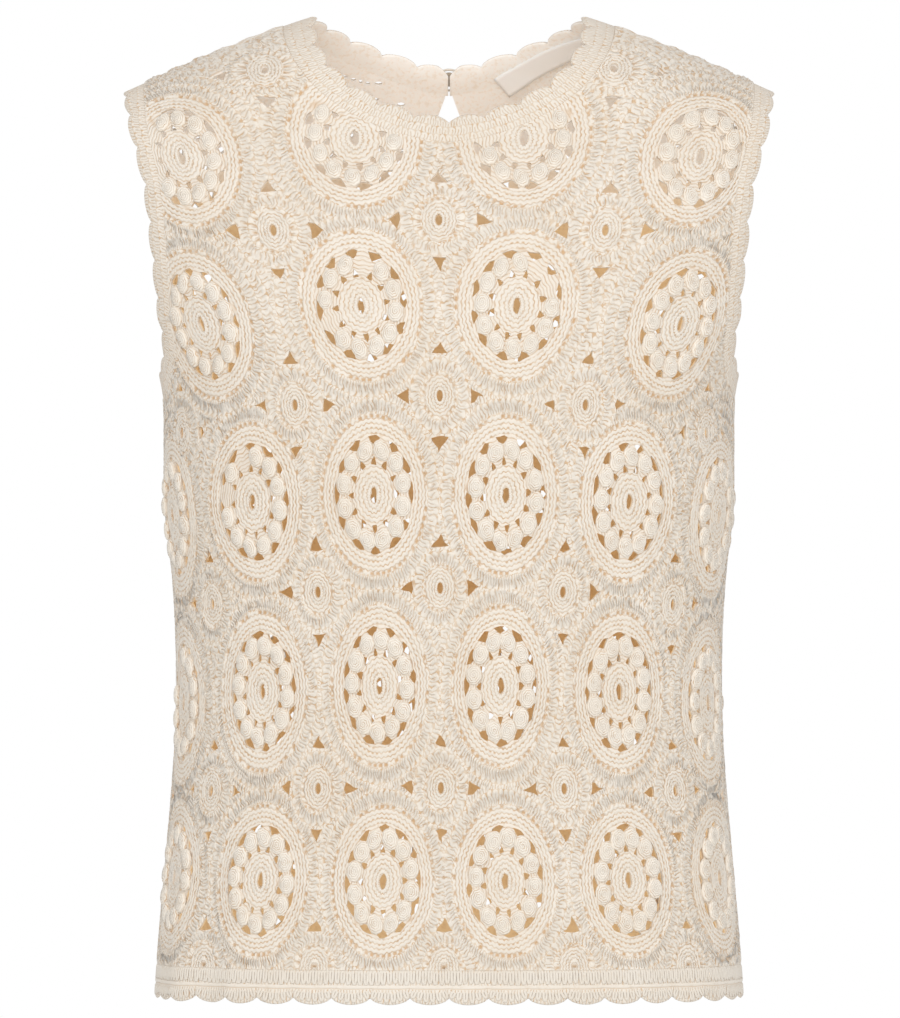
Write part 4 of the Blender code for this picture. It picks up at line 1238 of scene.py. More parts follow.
def yarn_group():
    """A node group for crochet cotton: colour with painted shade in its valleys, pits and
    inner face and painted light by the neck, a painted glow for what light comes through
    at the neck, roughness and the fine height of plies."""
    group, given, result = new_group("crochet_cotton", "ShaderNodeTree", (
        ("Light", "Color", (0.86, 0.78, 0.68, 1)),
        ("Valley Shade", "Color", (0.68, 0.53, 0.38, 1)),
        ("Pit", "Color", (0.62, 0.42, 0.25, 1)),
        ("Inside", "Color", (0.99, 0.75, 0.45, 1)),
        ("Neck Light", "Color", (0.95, 0.92, 0.88, 1)),
        ("Valley Share", "Float", 0.74),
        ("Depth", "Float", 0.0),
        ("Relief", "Float", 1.0),
        ("Ply Scale", "Float", 900.0),
        ("Fuzz", "Float", 0.2),
    ), (("Colour", "Color"), ("Through Glow", "Color"), ("Roughness", "Float"), ("Height", "Float")))
    maths, ramp, mixed, noise, parts = node_maker(group)
    link = group.links.new
    depth = given.outputs["Depth"]
    relief = given.outputs["Relief"]
    grain = noise(420.0, 2.0)
    outside = ramp(depth, -0.9, -0.1)
    inner = maths("SUBTRACT", 1.0, outside)

    # The outer face: cream on the strands, painted tan shade in their valleys and deeper painted shade
    # in the pits.
    clouds = ramp(noise(26.0, 2.0), 0.35, 0.75)
    tone = mixed("MULTIPLY", clouds, given.outputs["Light"], (0.97, 0.955, 0.935, 1))
    tone = mixed("MULTIPLY", ramp(grain, 0.50, 0.80), tone, (0.93, 0.90, 0.86, 1))
    valley_shade = maths("MULTIPLY", ramp(relief, 0.05, 0.68, 1.0, 0.0), outside)
    valley_shade_mix = maths("MULTIPLY", valley_shade, given.outputs["Valley Share"])
    tone = mixed("MIX", valley_shade_mix, tone, given.outputs["Valley Shade"])
    speck_shade = maths("MULTIPLY", ramp(noise(260.0, 0.0), 0.54, 0.63), ramp(valley_shade, 0.50, 0.90))
    pit_shade = maths("MAXIMUM", ramp(depth, 0.15, 1.0), maths("MULTIPLY", speck_shade, 0.8))
    tone = mixed("MIX", pit_shade, tone, given.outputs["Pit"])

    # The inner face: painted warm shade for the hollow inside, and paler painted light by the neck,
    # where light comes through it.
    neck_light_mask = ramp(parts()[2], -0.115, -0.055)
    inner_shade_and_light = mixed("MIX", neck_light_mask, given.outputs["Inside"], given.outputs["Neck Light"])
    inner_shade_and_light = mixed("MULTIPLY", ramp(grain, 0.45, 0.75), inner_shade_and_light, (0.92, 0.88, 0.82, 1))
    through_glow = mixed("MIX", maths("MULTIPLY", neck_light_mask, inner), (0, 0, 0, 1), inner_shade_and_light)

    plies = maths("MULTIPLY", noise(given.outputs["Ply Scale"], 3.0), given.outputs["Fuzz"])
    link(mixed("MIX", inner, tone, inner_shade_and_light), result.inputs["Colour"])
    link(through_glow, result.inputs["Through Glow"])
    link(ramp(grain, 0.0, 1.0, 0.72, 0.95), result.inputs["Roughness"])
    link(maths("ADD", maths("MULTIPLY", relief, outside), plies), result.inputs["Height"])
    return group


STRANDS = strands_group()
COTTON = yarn_group()
# A painted glow, standing for the light that comes through the thin cloth at the neck.
THROUGH_GLOW = 0.07           # what comes through the thin cloth from behind at the neck
# How much of the painted valley shade the strands take.
VALLEY_SHADE_SHARE = 0.74


def new_material(name, settings):
    """A material with plain values on its shader, its node tree and the shader's inputs."""
    made = bpy.data.materials.new(name)
    made.use_nodes = True
    shader = made.node_tree.nodes["Principled BSDF"].inputs
    for socket_name, value in settings.items():
        shader[socket_name].default_value = value
    return made, made.node_tree, shader


def bumped(tree, height, strength, distance):
    """The normal of a surface with a small height on it."""
    inputs = {"Strength": strength, "Distance": distance, "Height": height}
    return placed(tree, "ShaderNodeBump", inputs)["Normal"]


def cotton_material(name, light, ply_scale, fuzz, stitched=True, valley_shade_share=VALLEY_SHADE_SHARE):
    """Crochet cotton for one kind of piece."""
    made, tree, shader = new_material(name, {
        "Sheen Weight": 0.22,
        "Sheen Roughness": 0.5,
        "Specular IOR Level": 0.25,
        "Emission Strength": THROUGH_GLOW,
    })

    def read(attribute_name, output):
        return placed(tree, "ShaderNodeAttribute", attribute_name=attribute_name)[output]

    inputs = {"Light": light, "Valley Share": valley_shade_share, "Ply Scale": ply_scale, "Fuzz": fuzz}
    # The depth mark carries the painted pit shade and the inner face's painted shade.
    inputs["Depth"] = read("depth", "Fac")
    if stitched:
        inputs["Relief"] = placed(tree, "ShaderNodeGroup", {
            "Rounds": read("rounds", "Vector"),
            "Posts": read("posts", "Vector"),
            "Worked": read("worked", "Fac"),
        }, node_tree=STRANDS)["Relief"]
    cotton = placed(tree, "ShaderNodeGroup", inputs, node_tree=COTTON)
    link = tree.links.new
    link(cotton["Colour"], shader["Base Color"])
    # A painted glow where light comes through the cloth by the neck.
    link(cotton["Through Glow"], shader["Emission Color"])
    link(cotton["Roughness"], shader["Roughness"])
    link(bumped(tree, cotton["Height"], strength=0.65, distance=0.0005), shader["Normal"])
    return made


CREAM = (0.82, 0.755, 0.67, 1)
lace_cotton = cotton_material("lace_cotton", CREAM, ply_scale=900.0, fuzz=0.25)

for side_name, face, node in (("front", FRONT, "front_panel"), ("back", BACK, "back_panel")):
    for half_name, upper in (("upper", True), ("lower", False)):
        outline = half_outline(face, upper)
        shell = make_shell(f"{side_name}_lace_{half_name}", face, outline)
        shell.data.materials.append(lace_cotton)
        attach(shell, "root")
        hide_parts(node)
        size = outline.max(axis=0) - outline.min(axis=0)


# ---- The bobbles --------------------------------------------------------------------
# Twelve round bobbles stand in the open round of each medallion. Each is one thick
# cluster of yarn wound round on itself, and touches the next one on both sides.
BOBBLE_COILS = 4
BOBBLE_SEGMENTS = 16
BOBBLE_HALF_WIDTH = 0.0046
BOBBLE_HALF_HEIGHT = 0.0062
BOBBLE_RISE = 0.0027
# The pit of its lowest rings and of its coils' grooves is painted shade.
BOBBLE_FOOT = ((1.0, -0.25, 0.5), (1.03, 0.10, 0.2))    # its lowest rings: radius, height, pit
BOBBLE_SHOULDER = 0.30         # of its rise: where its rounding starts
BOBBLE_CROWN = 0.66
BOBBLE_ROUNDING = (2.6, 0.62)
BOBBLE_GROOVE = 0.06
BOBBLE_GROOVE_SHADE = 0.33
BOBBLE_SHIFT = 0.035           # how far its coils wander from its middle
BOBBLE_WANDER = 2.1
BOBBLE_TILT = 0.06
BOBBLE_SIZES = (0.95, 1.05)
BOBBLE_FANNING = 0.0004        # how much its top leans away from the ring's middle
BOBBLE_UP = (0.0, 0.0008)
BOBBLE_STRAY = 0.0003
BOBBLE_SEED = 90
TILT_SEED = 12
BOBBLE_CLEAR_OF_EDGE = 0.0042
BELOW_CUT = -0.40
# A paler copy of the cream: painted light that offsets the shade in the bobbles' grooves.
BOBBLE_LIGHTENED_CREAM = (0.88, 0.815, 0.725, 1)

bobble_cotton = cotton_material(
    "bobble_cotton", BOBBLE_LIGHTENED_CREAM, ply_scale=1100.0, fuzz=0.25, valley_shade_share=0.34
)


def ring_faces(rings, segments):
    """Quads between rings of points, each ring closed."""
    faces = []
    for base in range(0, (rings - 1) * segments, segments):
        for i in range(segments):
            beside = (i + 1) % segments
            faces.append((base + i, base + beside, base + segments + beside, base + segments + i))
    return faces


def bobble_form():
    """One bobble of unit radius and height: rings of yarn over a full round top."""
    rings = list(BOBBLE_FOOT)
    for number, share in enumerate(np.linspace(1, 0, 2 * BOBBLE_COILS + 1)[:-1]):
        groove = BOBBLE_GROOVE if number % 2 else -BOBBLE_GROOVE
        round_top = (1 - share ** BOBBLE_ROUNDING[0]) ** BOBBLE_ROUNDING[1]
        lift = BOBBLE_SHOULDER + BOBBLE_CROWN * round_top + groove
        rings.append((share, lift, 0.0 if number % 2 else BOBBLE_GROOVE_SHADE))
    turns = even_turns(BOBBLE_SEGMENTS)
    points = []
    for number, (share, lift, _) in enumerate(rings):
        way = np.array((math.cos(number * BOBBLE_WANDER), math.sin(number * BOBBLE_WANDER)))
        shift = BOBBLE_SHIFT * way * (1 - share)
        for turn in turns:
            points.append((share * math.cos(turn) + shift[0], share * math.sin(turn) + shift[1], lift))
    points.append((0, 0, BOBBLE_SHOULDER + BOBBLE_CROWN + BOBBLE_GROOVE / 2))
    faces = ring_faces(len(rings), BOBBLE_SEGMENTS)
    top = len(points) - 1
    last = top - BOBBLE_SEGMENTS
    faces += [(last + i, last + (i + 1) % BOBBLE_SEGMENTS, top) for i in range(BOBBLE_SEGMENTS)]
    faces.append(tuple(reversed(range(BOBBLE_SEGMENTS))))
    depth = np.append(np.repeat([pit_shade for _, _, pit_shade in rings], BOBBLE_SEGMENTS), 0.0)
    made = new_object("bobble_form", np.array(points), faces, depth)
    rounds = []
    for face in faces:
        across = np.array([points[vertex][:2] for vertex in face])
        turns = np.arctan2(across[:, 1], across[:, 0])
        turns = turns[0] + (turns - turns[0] + math.pi) % (2 * math.pi) - math.pi
        if top in face:
            turns[-1] = turns[:-1].mean()
        coils = np.linalg.norm(across, axis=1) * BOBBLE_COILS + turns / (2 * math.pi)
        rounds += list(zip(turns * 4 / math.pi, coils))
    set_stitch_maps(made.data, np.array(rounds), np.zeros((1, 2)), np.zeros(1))
    return made


def finish_tree(tree, grown_output, given, result):
    """The end of a tree: real geometry in its yarn."""
    real = placed(tree, "GeometryNodeRealizeInstances", {"Geometry": grown_output})["Geometry"]
    inputs = {"Geometry": real, "Material": given.outputs["Yarn"]}
    finish = placed(tree, "GeometryNodeSetMaterial", inputs)["Geometry"]
    tree.links.new(finish, result.inputs["Geometry"])


def set_on_cloth_tree():
    """Geometry Nodes that set a copy of a form at each point, standing on the cloth."""
    tree, given, result = new_group("set_on_cloth", "GeometryNodeTree", (
        ("Geometry", "Geometry", None),
        ("Form", "Object", None),
        ("Yarn", "Material", None),
        ("Unevenness", "Float", 0.05),
        ("Seed", "Int", 1),
    ), (("Geometry", "Geometry"),))
    tree.is_modifier = True

    def attribute(name):
        inputs = {"Name": name}
        made = placed(tree, "GeometryNodeInputNamedAttribute", inputs, data_type="FLOAT_VECTOR")
        return made["Attribute"]

    form = placed(tree, "GeometryNodeObjectInfo", {"Object": given.outputs["Form"]})["Geometry"]
    ways = {"Primary Axis": attribute("out_way"), "Secondary Axis": attribute("up_way")}
    turn = placed(tree, "FunctionNodeAxesToRotation", ways, primary_axis="Z", secondary_axis="Y")
    shares = {0: 1.0, 1: given.outputs["Unevenness"]}
    least = placed(tree, "ShaderNodeMath", shares, operation="SUBTRACT")
    limits = {2: least[0], 3: 1.0, "Seed": given.outputs["Seed"]}
    chance = placed(tree, "FunctionNodeRandomValue", limits, data_type="FLOAT")
    sizes = {0: attribute("size"), "Scale": chance[1]}
    size = placed(tree, "ShaderNodeVectorMath", sizes, operation="SCALE")
    copies = placed(tree, "GeometryNodeInstanceOnPoints", {
        "Points": given.outputs["Geometry"],
        "Instance": form,
        "Rotation": turn["Rotation"],
        "Scale": size["Vector"],
    })
    finish_tree(tree, copies["Instances"], given, result)
    return tree


SET_ON_CLOTH = set_on_cloth_tree()


def grown(name, tree, guide_mesh, values):
    """The plain mesh object that a tree of nodes grows from a guide mesh."""
    guide = bpy.data.objects.new(name + "_guide", guide_mesh)
    scene.collection.objects.link(guide)
    grow = guide.modifiers.new("grow", "NODES")
    grow.node_group = tree
    for item in tree.interface.items_tree:
        if item.in_out == "INPUT" and item.name in values:
            grow[item.identifier] = values[item.name]
    bpy.context.view_layer.update()
    evaluated = guide.evaluated_get(bpy.context.evaluated_depsgraph_get())
    mesh = bpy.data.meshes.new_from_object(evaluated)
    mesh.name = name
    bpy.data.objects.remove(guide)
    made = bpy.data.objects.new(name, mesh)
    scene.collection.objects.link(made)
    return made


def guide_points(name, points, out_way, up_way, size):
    """Points on the cloth, each with the ways and the size of what is set on it."""
    mesh = bpy.data.meshes.new(name)
    mesh.from_pydata(np.asarray(points).tolist(), [], [])
    for attribute_name, values in (("out_way", out_way), ("up_way", up_way), ("size", size)):
        mark = mesh.attributes.new(attribute_name, "FLOAT_VECTOR", "POINT")
        mark.data.foreach_set("vector", np.asarray(values, np.float32).ravel())
    return mesh


def bobbles_of(face):
    """The bobbles of one face: where they stand, and which way their tops point."""
    upper = half_outline(face, True)
    lower = half_outline(face, False)
    chance = np.random.default_rng(BOBBLE_SEED + face)
    places = []
    ways = []
    for motif in medallions_of(face):
        turns = even_turns(BOBBLES, motif.spin)
        places.append(oval(motif.centre, motif.half_width, motif.half_height, turns))
        upward = np.stack((np.cos(turns), -np.sin(turns)), axis=1)
        upward *= np.where(upward[:, 1] < 0, -1.0, 1.0)[:, None]
        ways.append(upward * BOBBLE_FANNING + BOBBLE_UP)
    places = np.concatenate(places)
    places += chance.uniform(-BOBBLE_STRAY, BOBBLE_STRAY, places.shape)
    below_cut = lower[lower[:, 1] < BELOW_CUT]
    edge = np.concatenate((upper, below_cut))
    keep = inside_of(upper, places) | inside_of(lower, places)
    keep &= distances_to([edge], places, PLAIN_MARKS) > BOBBLE_CLEAR_OF_EDGE
    return places[keep], np.concatenate(ways)[keep]


bobble = bobble_form()
for side_name, face, node in (("front", FRONT, "front_panel"), ("back", BACK, "back_panel")):
    places, ways = bobbles_of(face)
    spot, normal = cloth_frame(face, places)
    up_way = cloth_frame(face, places + ways)[0] - spot
    tilt = np.random.default_rng(TILT_SEED + face)
    normal = normal + tilt.normal(0, BOBBLE_TILT, normal.shape)
    size = np.tile((BOBBLE_HALF_WIDTH, BOBBLE_HALF_HEIGHT, BOBBLE_RISE), (len(spot), 1))
    size *= tilt.uniform(*BOBBLE_SIZES, (len(spot), 3))
    guide = guide_points("bobble_places", spot, normal, up_way, size)
    piece = grown(f"{side_name}_bobbles", SET_ON_CLOTH, guide,
                  {"Form": bobble, "Yarn": bobble_cotton, "Unevenness": 0.05, "Seed": 3})
    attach(piece, "root")
    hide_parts(node)
bpy.data.objects.remove(bobble)


# ---- The bands at the neck, the armholes and the hem --------------------------------
# Each opening is finished with a band of solid crochet, scalloped along its free edge
# and sewn to the panels. The hem's has a row of tall stitches, a chain and raised fans.
NECK_SCALLOPS_FRONT = 14
NECK_SCALLOPS_BACK_HALF = 6
ARMHOLE_SCALLOPS_HALF = 11
HEM_SCALLOPS_HALF = 20
HEM_PLACES = 841
SCALLOP_DEPTH = 0.0034
SCALLOP_COLUMNS = 10
SCALLOP_NOTCH = -0.5           # of its depth: where it starts and how far it comes out
SCALLOP_REACH = 1.05
SCALLOP_FULLNESS = 0.62
GROOVE_SHARE = 0.55
STITCH_PITCH = 0.0034
STITCH_YARN = 0.00092
YARN_LIFT = 0.40
FAN_STITCHES = 6
BAND_LOOP = 0.0038             # along the band, of the small stitches its cloth is made of
BAND_ROW = 0.0056
END_DROP = 0.0012              # how the neck band's corners are rounded off by the slit
END_ROUNDING = 0.0035
# The hem band's section, from its seam out over the free edge and back inside. The other
# bands have the same without the chain. Its depth is the share of painted pit shade, most
# in the groove beside the chain; the inner face takes the painted inner shade.
BandLine = namedtuple("BandLine", "share out depth")
BAND_SECTION = [BandLine(*row) for row in (
    (-0.05, -0.0006, 0.2),
    (0.03, 0.0000, 0.05),
    (0.47, 0.0000, 0.05),
    (0.49, 0.0001, 0.1),
    (0.51, 0.0004, 0.0),
    (0.55, 0.0005, 0.0),
    (0.585, 0.0003, 0.0),
    (0.605, -0.0002, 0.7),
    (0.63, 0.0000, 0.05),
    (0.95, 0.0000, 0.05),
    (1.00, -0.0003, 0.0),
    (1.03, -0.0010, 0.0),
    (1.01, -0.0017, INSIDE),
    (0.97, -0.0021, INSIDE),
    (0.50, -0.0022, INSIDE),
    (-0.02, -0.0022, INSIDE),
    (-0.05, -0.0021, INSIDE),
)]

CHAIN_START = 0.48
CHAIN_END = 0.62
PLAIN_SECTION = [
    line for line in BAND_SECTION if line.depth == INSIDE or not CHAIN_START < line.share < CHAIN_END
]
# Darker copies of the cream: painted shade that offsets the light the bands' raised loops catch.
BAND_SHADED_CREAM = (0.80, 0.735, 0.65, 1)
STITCH_SHADED_CREAM = (0.76, 0.70, 0.62, 1)

band_cotton = cotton_material("band_cotton", BAND_SHADED_CREAM, ply_scale=800.0, fuzz=0.3)
stitch_cotton = cotton_material(
    "stitch_cotton", STITCH_SHADED_CREAM, ply_scale=1100.0, fuzz=0.4, stitched=False
)


def scallop_push(part):
    """How far the edge stands out at a part of the way along a scallop."""
    arch = np.sin(math.pi * np.clip(part, 0, 1)) ** SCALLOP_FULLNESS
    return SCALLOP_NOTCH + SCALLOP_REACH * arch


def band_places(free_line, seam_line, index, part, share):
    """Places across a band: on its seam at share 0 and on its scalloped edge at 1."""
    seam = line_at(seam_line, index)
    way = line_at(free_line, index) - seam
    unit = way / np.linalg.norm(way, axis=-1, keepdims=True)
    beyond = np.maximum(share - GROOVE_SHARE, 0) / (1 - GROOVE_SHARE)
    push = (scallop_push(part) * SCALLOP_DEPTH * beyond)[..., None]
    return seam + way * np.asarray(share)[..., None] + unit * push


def set_band_maps(mesh, points, section, closed):
    """Small looped stitches all over a band's cloth, but for its chain."""
    ring = np.concatenate((points, points[:1])) if closed else points
    around = np.concatenate((points, points[:, :1]), axis=1)
    along = np.append(0.0, np.cumsum(np.linalg.norm(np.diff(ring[:, 1], axis=0), axis=1)))
    along *= 2 * round(along[-1] / BAND_LOOP) / along[-1]
    steps = np.linalg.norm(np.diff(around, axis=1), axis=2).mean(axis=0)
    over = np.append(0.0, np.cumsum(steps)) / BAND_ROW
    shape = (len(ring) - 1, len(section))
    column, row = (number.ravel()[:, None] for number in np.indices(shape))
    corners = np.stack((along[column + (0, 0, 1, 1)], over[row + (0, 1, 1, 0)]), axis=-1)
    posts = corners.reshape(-1, 2)
    worked = np.array([not CHAIN_START < line.share < CHAIN_END for line in section], float)
    set_stitch_maps(mesh, np.full_like(posts, 0.5), posts, worked[row.ravel()])


def band_shell(name, parts, section, closed):
    """The cloth of a band with its scalloped edge."""
    columns = []
    for face, free_line, seam_line, scallops in parts:
        count = scallops * SCALLOP_COLUMNS
        index = even_indices(seam_line, count)
        if closed or len(columns) < len(parts) - 1:
            index = index[:-1]
        part = (np.arange(len(index)) % SCALLOP_COLUMNS) / SCALLOP_COLUMNS
        lines = []
        for line in section:
            places = band_places(free_line, seam_line, index, part, np.full(len(index), line.share))
            lines.append(cloth_points(face, places, line.out))
        columns.append(np.stack(lines, axis=1))
    points = np.concatenate(columns)
    count, rows = points.shape[:2]
    faces = []
    for i in range(count if closed else count - 1):
        here = i * rows
        beside = (i + 1) % count * rows
        for row in range(rows):
            above = (row + 1) % rows
            faces.append((here + row, here + above, beside + above, beside + row))
    if not closed:
        faces.append(tuple(range(rows)))
        faces.append(tuple(reversed(range((count - 1) * rows, count * rows))))
    depth = np.tile([line.depth for line in section], count)
    made = new_object(name, points.reshape(-1, 3), faces, depth)
    set_band_maps(made.data, points, section, closed)
    return made


# A yarn's section, from side to side over its top: across, up and depth, the share of
# painted pit shade, most at its sides and under it.
YARN_SECTION = (
    (1.0, -0.1, 0.5), (0.62, 0.75, 0.05), (-0.62, 0.75, 0.05), (-1.0, -0.1, 0.5), (0.0, -0.9, 0.6),
)
YARN_SINK = 1.1                # of its radius: how far its two ends go into the cloth
YARN_SEAT = 0.2
# The path of a crochet stitch, up its left strand and down its right, of unit size.
STITCH_PATH = (
    (-0.22, 0.0), (-0.27, 0.35), (-0.26, 0.74), (-0.15, 0.95),
    (0.10, 0.97), (0.25, 0.78), (0.27, 0.38), (0.20, 0.0),
)


def yarn_form(name, path, yarn):
    """A short length of yarn that follows a flat path and ends in the cloth."""
    path = np.array(path)
    way = np.gradient(path, axis=0)
    aside = np.stack((way[:, 1], -way[:, 0]), axis=1)
    aside /= np.linalg.norm(aside, axis=1)[:, None]
    points = []
    for number, (place, side) in enumerate(zip(path, aside)):
        sink = -YARN_SINK * yarn if number in (0, len(path) - 1) else 0.0
        for across, up, _ in YARN_SECTION:
            lift = up * yarn * YARN_LIFT + sink + yarn * YARN_SEAT
            points.append((*(place + side * across * yarn), lift))
    sides = len(YARN_SECTION)
    faces = ring_faces(len(path), sides)
    faces.append(tuple(reversed(range(sides))))
    faces.append(tuple(len(points) - sides + i for i in range(sides)))
    depth = np.tile([pit_shade for _, _, pit_shade in YARN_SECTION], len(path))
    return new_object(name, np.array(points), faces, depth)


def loop_form(name, width, length):
    """A crochet stitch: two strands side by side that meet in a loop at the top."""
    return yarn_form(name, [(x * width, y * length) for x, y in STITCH_PATH], STITCH_YARN)


def stitches_between(face, starts, ends, length):
    """Where stitches are set that run from one line of places to another."""
    start, normal = cloth_frame(face, starts)
    end, _ = cloth_frame(face, ends)
    way = end - start
    reach = np.linalg.norm(way, axis=1)
    size = np.stack((np.ones_like(reach), reach / length, np.ones_like(reach)), axis=1)
    return start, normal, way / reach[:, None], size


TALL_STITCH = 0.0070
FAN_STITCH = 0.0055
TALL_FOOT = -0.08              # of the band's width, from its seam
TALL_TOP = 0.46
FAN_FOOT = 0.63
FAN_TOP = 0.95
FAN_SPREAD = 1.06              # of a scallop's width, at the tops and at the feet of its fan
FAN_FEET = 0.86
STITCH_STRAY = 0.03            # of the band's width
FAN_OVER = 0.02                # the same beyond the top of a fan
STITCH_LEAN = 0.10             # of the stitches' pitch
STITCH_SEED = 8
tall_form = loop_form("tall_form", STITCH_PITCH, TALL_STITCH)
fan_form = loop_form("fan_form", STITCH_PITCH, FAN_STITCH)


def stray_share(chance, share, count, over=STITCH_STRAY):
    """A share of the band's width for each of a number of stitches, a little astray."""
    return share + chance.uniform(-STITCH_STRAY, over, count)


def band_stitches(name, parts, seed):
    """The raised stitches of a band: a row by the seam and a fan in each scallop."""
    tall = []
    fans = []
    chance = np.random.default_rng(seed)
    fan = (np.arange(FAN_STITCHES) + 0.5) / FAN_STITCHES
    feet = 0.5 + (fan - 0.5) * FAN_FEET
    tops = 0.5 + (fan - 0.5) * FAN_SPREAD
    for face, free_line, seam_line, scallops in parts:
        band = (free_line, seam_line)
        lengths = lengths_along(seam_line)
        count = int(lengths[-1] / STITCH_PITCH)
        zero = np.zeros(count)
        along = (np.arange(count) + 0.25) * lengths[-1] / count
        lean = along + chance.uniform(-STITCH_LEAN, STITCH_LEAN, count) * STITCH_PITCH
        start, end = (np.interp(at, lengths, np.arange(len(seam_line))) for at in (along, lean))
        tall.append(stitches_between(
            face,
            band_places(*band, start, zero, stray_share(chance, TALL_FOOT, count)),
            band_places(*band, end, zero, stray_share(chance, TALL_TOP, count)),
            TALL_STITCH,
        ))
        notches = even_indices(seam_line, scallops)
        for first, last in zip(notches, notches[1:]):
            foot = first + (last - first) * feet
            top = first + (last - first) * tops
            fans.append(stitches_between(
                face,
                band_places(*band, foot, feet, stray_share(chance, FAN_FOOT, FAN_STITCHES)),
                band_places(*band, top, tops, stray_share(chance, FAN_TOP, FAN_STITCHES, FAN_OVER)),
                FAN_STITCH,
            ))
    pieces = []
    for kind, form, found in (("tall", tall_form, tall), ("fan", fan_form, fans)):
        guide = guide_points(name, *[np.concatenate(values) for values in zip(*found)])
        pieces.append(grown(f"{name}_{kind}_stitches", SET_ON_CLOTH, guide,
                            {"Form": form, "Yarn": stitch_cotton, "Unevenness": 0.08, "Seed": seed}))
    return pieces


def seam_beside(seam_line, free_line):
    """A band's seam line, moved half a seam gap towards the free edge."""
    way = free_line - seam_line
    return seam_line + way / np.linalg.norm(way, axis=1)[:, None] * SEAM_GAP / 2


def neck_parts():
    """The neck band's stretches: from the slit round by the front to the slit again."""
    index = np.append(0.5, np.arange(1, len(NECK_SEAM[BACK])))
    back_free = line_at(NECK_FREE[BACK], index)
    back_free[:, 1] -= END_DROP * np.exp(-(back_free[:, 0] / END_ROUNDING) ** 2)
    back_seam = seam_beside(line_at(NECK_SEAM[BACK], index), back_free)
    front_free = np.concatenate((NECK_FREE[FRONT][::-1], mirrored(NECK_FREE[FRONT])[1:]))
    front_seam = np.concatenate((NECK_SEAM[FRONT][::-1], mirrored(NECK_SEAM[FRONT])[1:]))
    front_seam = seam_beside(front_seam, front_free)
    return [
        (BACK, back_free, back_seam, NECK_SCALLOPS_BACK_HALF),
        (FRONT, front_free, front_seam, NECK_SCALLOPS_FRONT),
        (BACK, mirrored(back_free)[::-1], mirrored(back_seam)[::-1], NECK_SCALLOPS_BACK_HALF),
    ]


def armhole_parts(flip):
    """An armhole band's stretches: up the front and down the back."""
    free = mirrored(ARMHOLE_FREE) if flip else ARMHOLE_FREE
    seam = seam_beside(ARMHOLE_SEAM, ARMHOLE_FREE)
    seam = mirrored(seam) if flip else seam
    return [
        (FRONT, free, seam, ARMHOLE_SCALLOPS_HALF),
        (BACK, free[::-1], seam[::-1], ARMHOLE_SCALLOPS_HALF),
    ]


def hem_parts():
    """The hem band's stretches, round the front and round the back."""
    across = np.linspace(-QUARTER_ROUND, QUARTER_ROUND, HEM_PLACES)
    seam = np.stack((across, np.full_like(across, HEM_SEAM - SEAM_GAP / 2)), axis=1)
    free = np.stack((across, np.full_like(across, HEM_EDGE)), axis=1)
    return [
        (FRONT, free, seam, HEM_SCALLOPS_HALF),
        (BACK, mirrored(free), mirrored(seam), HEM_SCALLOPS_HALF),
    ]


for band_name, parts, section, closed in (
    ("neck_band", neck_parts(), PLAIN_SECTION, False),
    ("left_armhole_band", armhole_parts(False), PLAIN_SECTION, True),
    ("right_armhole_band", armhole_parts(True), PLAIN_SECTION, True),
    ("hem_band", hem_parts(), BAND_SECTION, True),
):
    shell = band_shell(band_name + "_cloth", parts, section, closed)
    shell.data.materials.append(band_cotton)
    stitches = band_stitches(band_name, parts, STITCH_SEED) if section is BAND_SECTION else []
    for piece in [shell] + stitches:
        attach(piece, "root")
        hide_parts(band_name)
    seams = [cloth_points(face, seam, 0.0) for face, _, seam, _ in parts]
    edges = [cloth_points(face, free, 0.0) for face, free, _, _ in parts]
for form in (tall_form, fan_form):
    bpy.data.objects.remove(form)


# ---- The button, its loop and the label ---------------------------------------------
# The neck closes at the centre back with a small round button and a loop of yarn. A
# blank satin label is sewn inside the back neck, to one side of the slit.
BUTTON_RADIUS = 0.0048
BUTTON_THICKNESS = 0.0026
BUTTON_BELOW_EDGE = 0.0060
BUTTON_SEGMENTS = 40
LOOP_YARN_RADIUS = 0.0007
LOOP_CLEARANCE = 0.0005
LOOP_PLACES = 48
LOOP_SIDES = 8
LOOP_SEAT = 1.15               # of its radius: how far its middle lies above the band
LABEL_WIDTH = 0.058
LABEL_HEIGHT = 0.0125
LABEL_THICKNESS = 0.0006
LABEL_START = 0.016
LABEL_BELOW_EDGE = 0.0095
LABEL_LIFT = 0.0011
LABEL_COLUMNS = 36
LABEL_ROWS = 8
LABEL_BUCKLE = 0.00035
LABEL_WAVES = (9.0, 1.2)
LABEL_CURL = 0.0009
LABEL_FACES_APART = 0.6        # of its thickness
# The button's turned section, from its middle over the rim and down: radius and height.
BUTTON_SECTION = (
    (0.10, 0.62), (0.45, 0.60), (0.62, 0.66), (0.70, 0.88), (0.80, 1.00), (0.90, 0.97),
    (0.98, 0.80), (1.00, 0.50), (0.97, 0.20), (0.88, 0.02), (0.10, 0.00),
)


def resin_material():
    """Horn-coloured resin, clouded and softly polished."""
    made, tree, shader = new_material("button_resin", {})
    place = placed(tree, "ShaderNodeTexCoord")["Object"]
    inputs = {"Vector": place, "Scale": 380.0, "Detail": 4.0}
    cloud = placed(tree, "ShaderNodeTexNoise", inputs)["Fac"]
    tone = tree.nodes.new("ShaderNodeValToRGB")
    tone.color_ramp.elements[0].color = (0.34, 0.25, 0.17, 1)
    tone.color_ramp.elements[1].color = (0.62, 0.52, 0.41, 1)
    polish = placed(tree, "ShaderNodeMapRange", {"Value": cloud, "To Min": 0.25, "To Max": 0.42})
    tree.links.new(cloud, tone.inputs["Fac"])
    tree.links.new(tone.outputs["Color"], shader["Base Color"])
    tree.links.new(polish["Result"], shader["Roughness"])
    return made


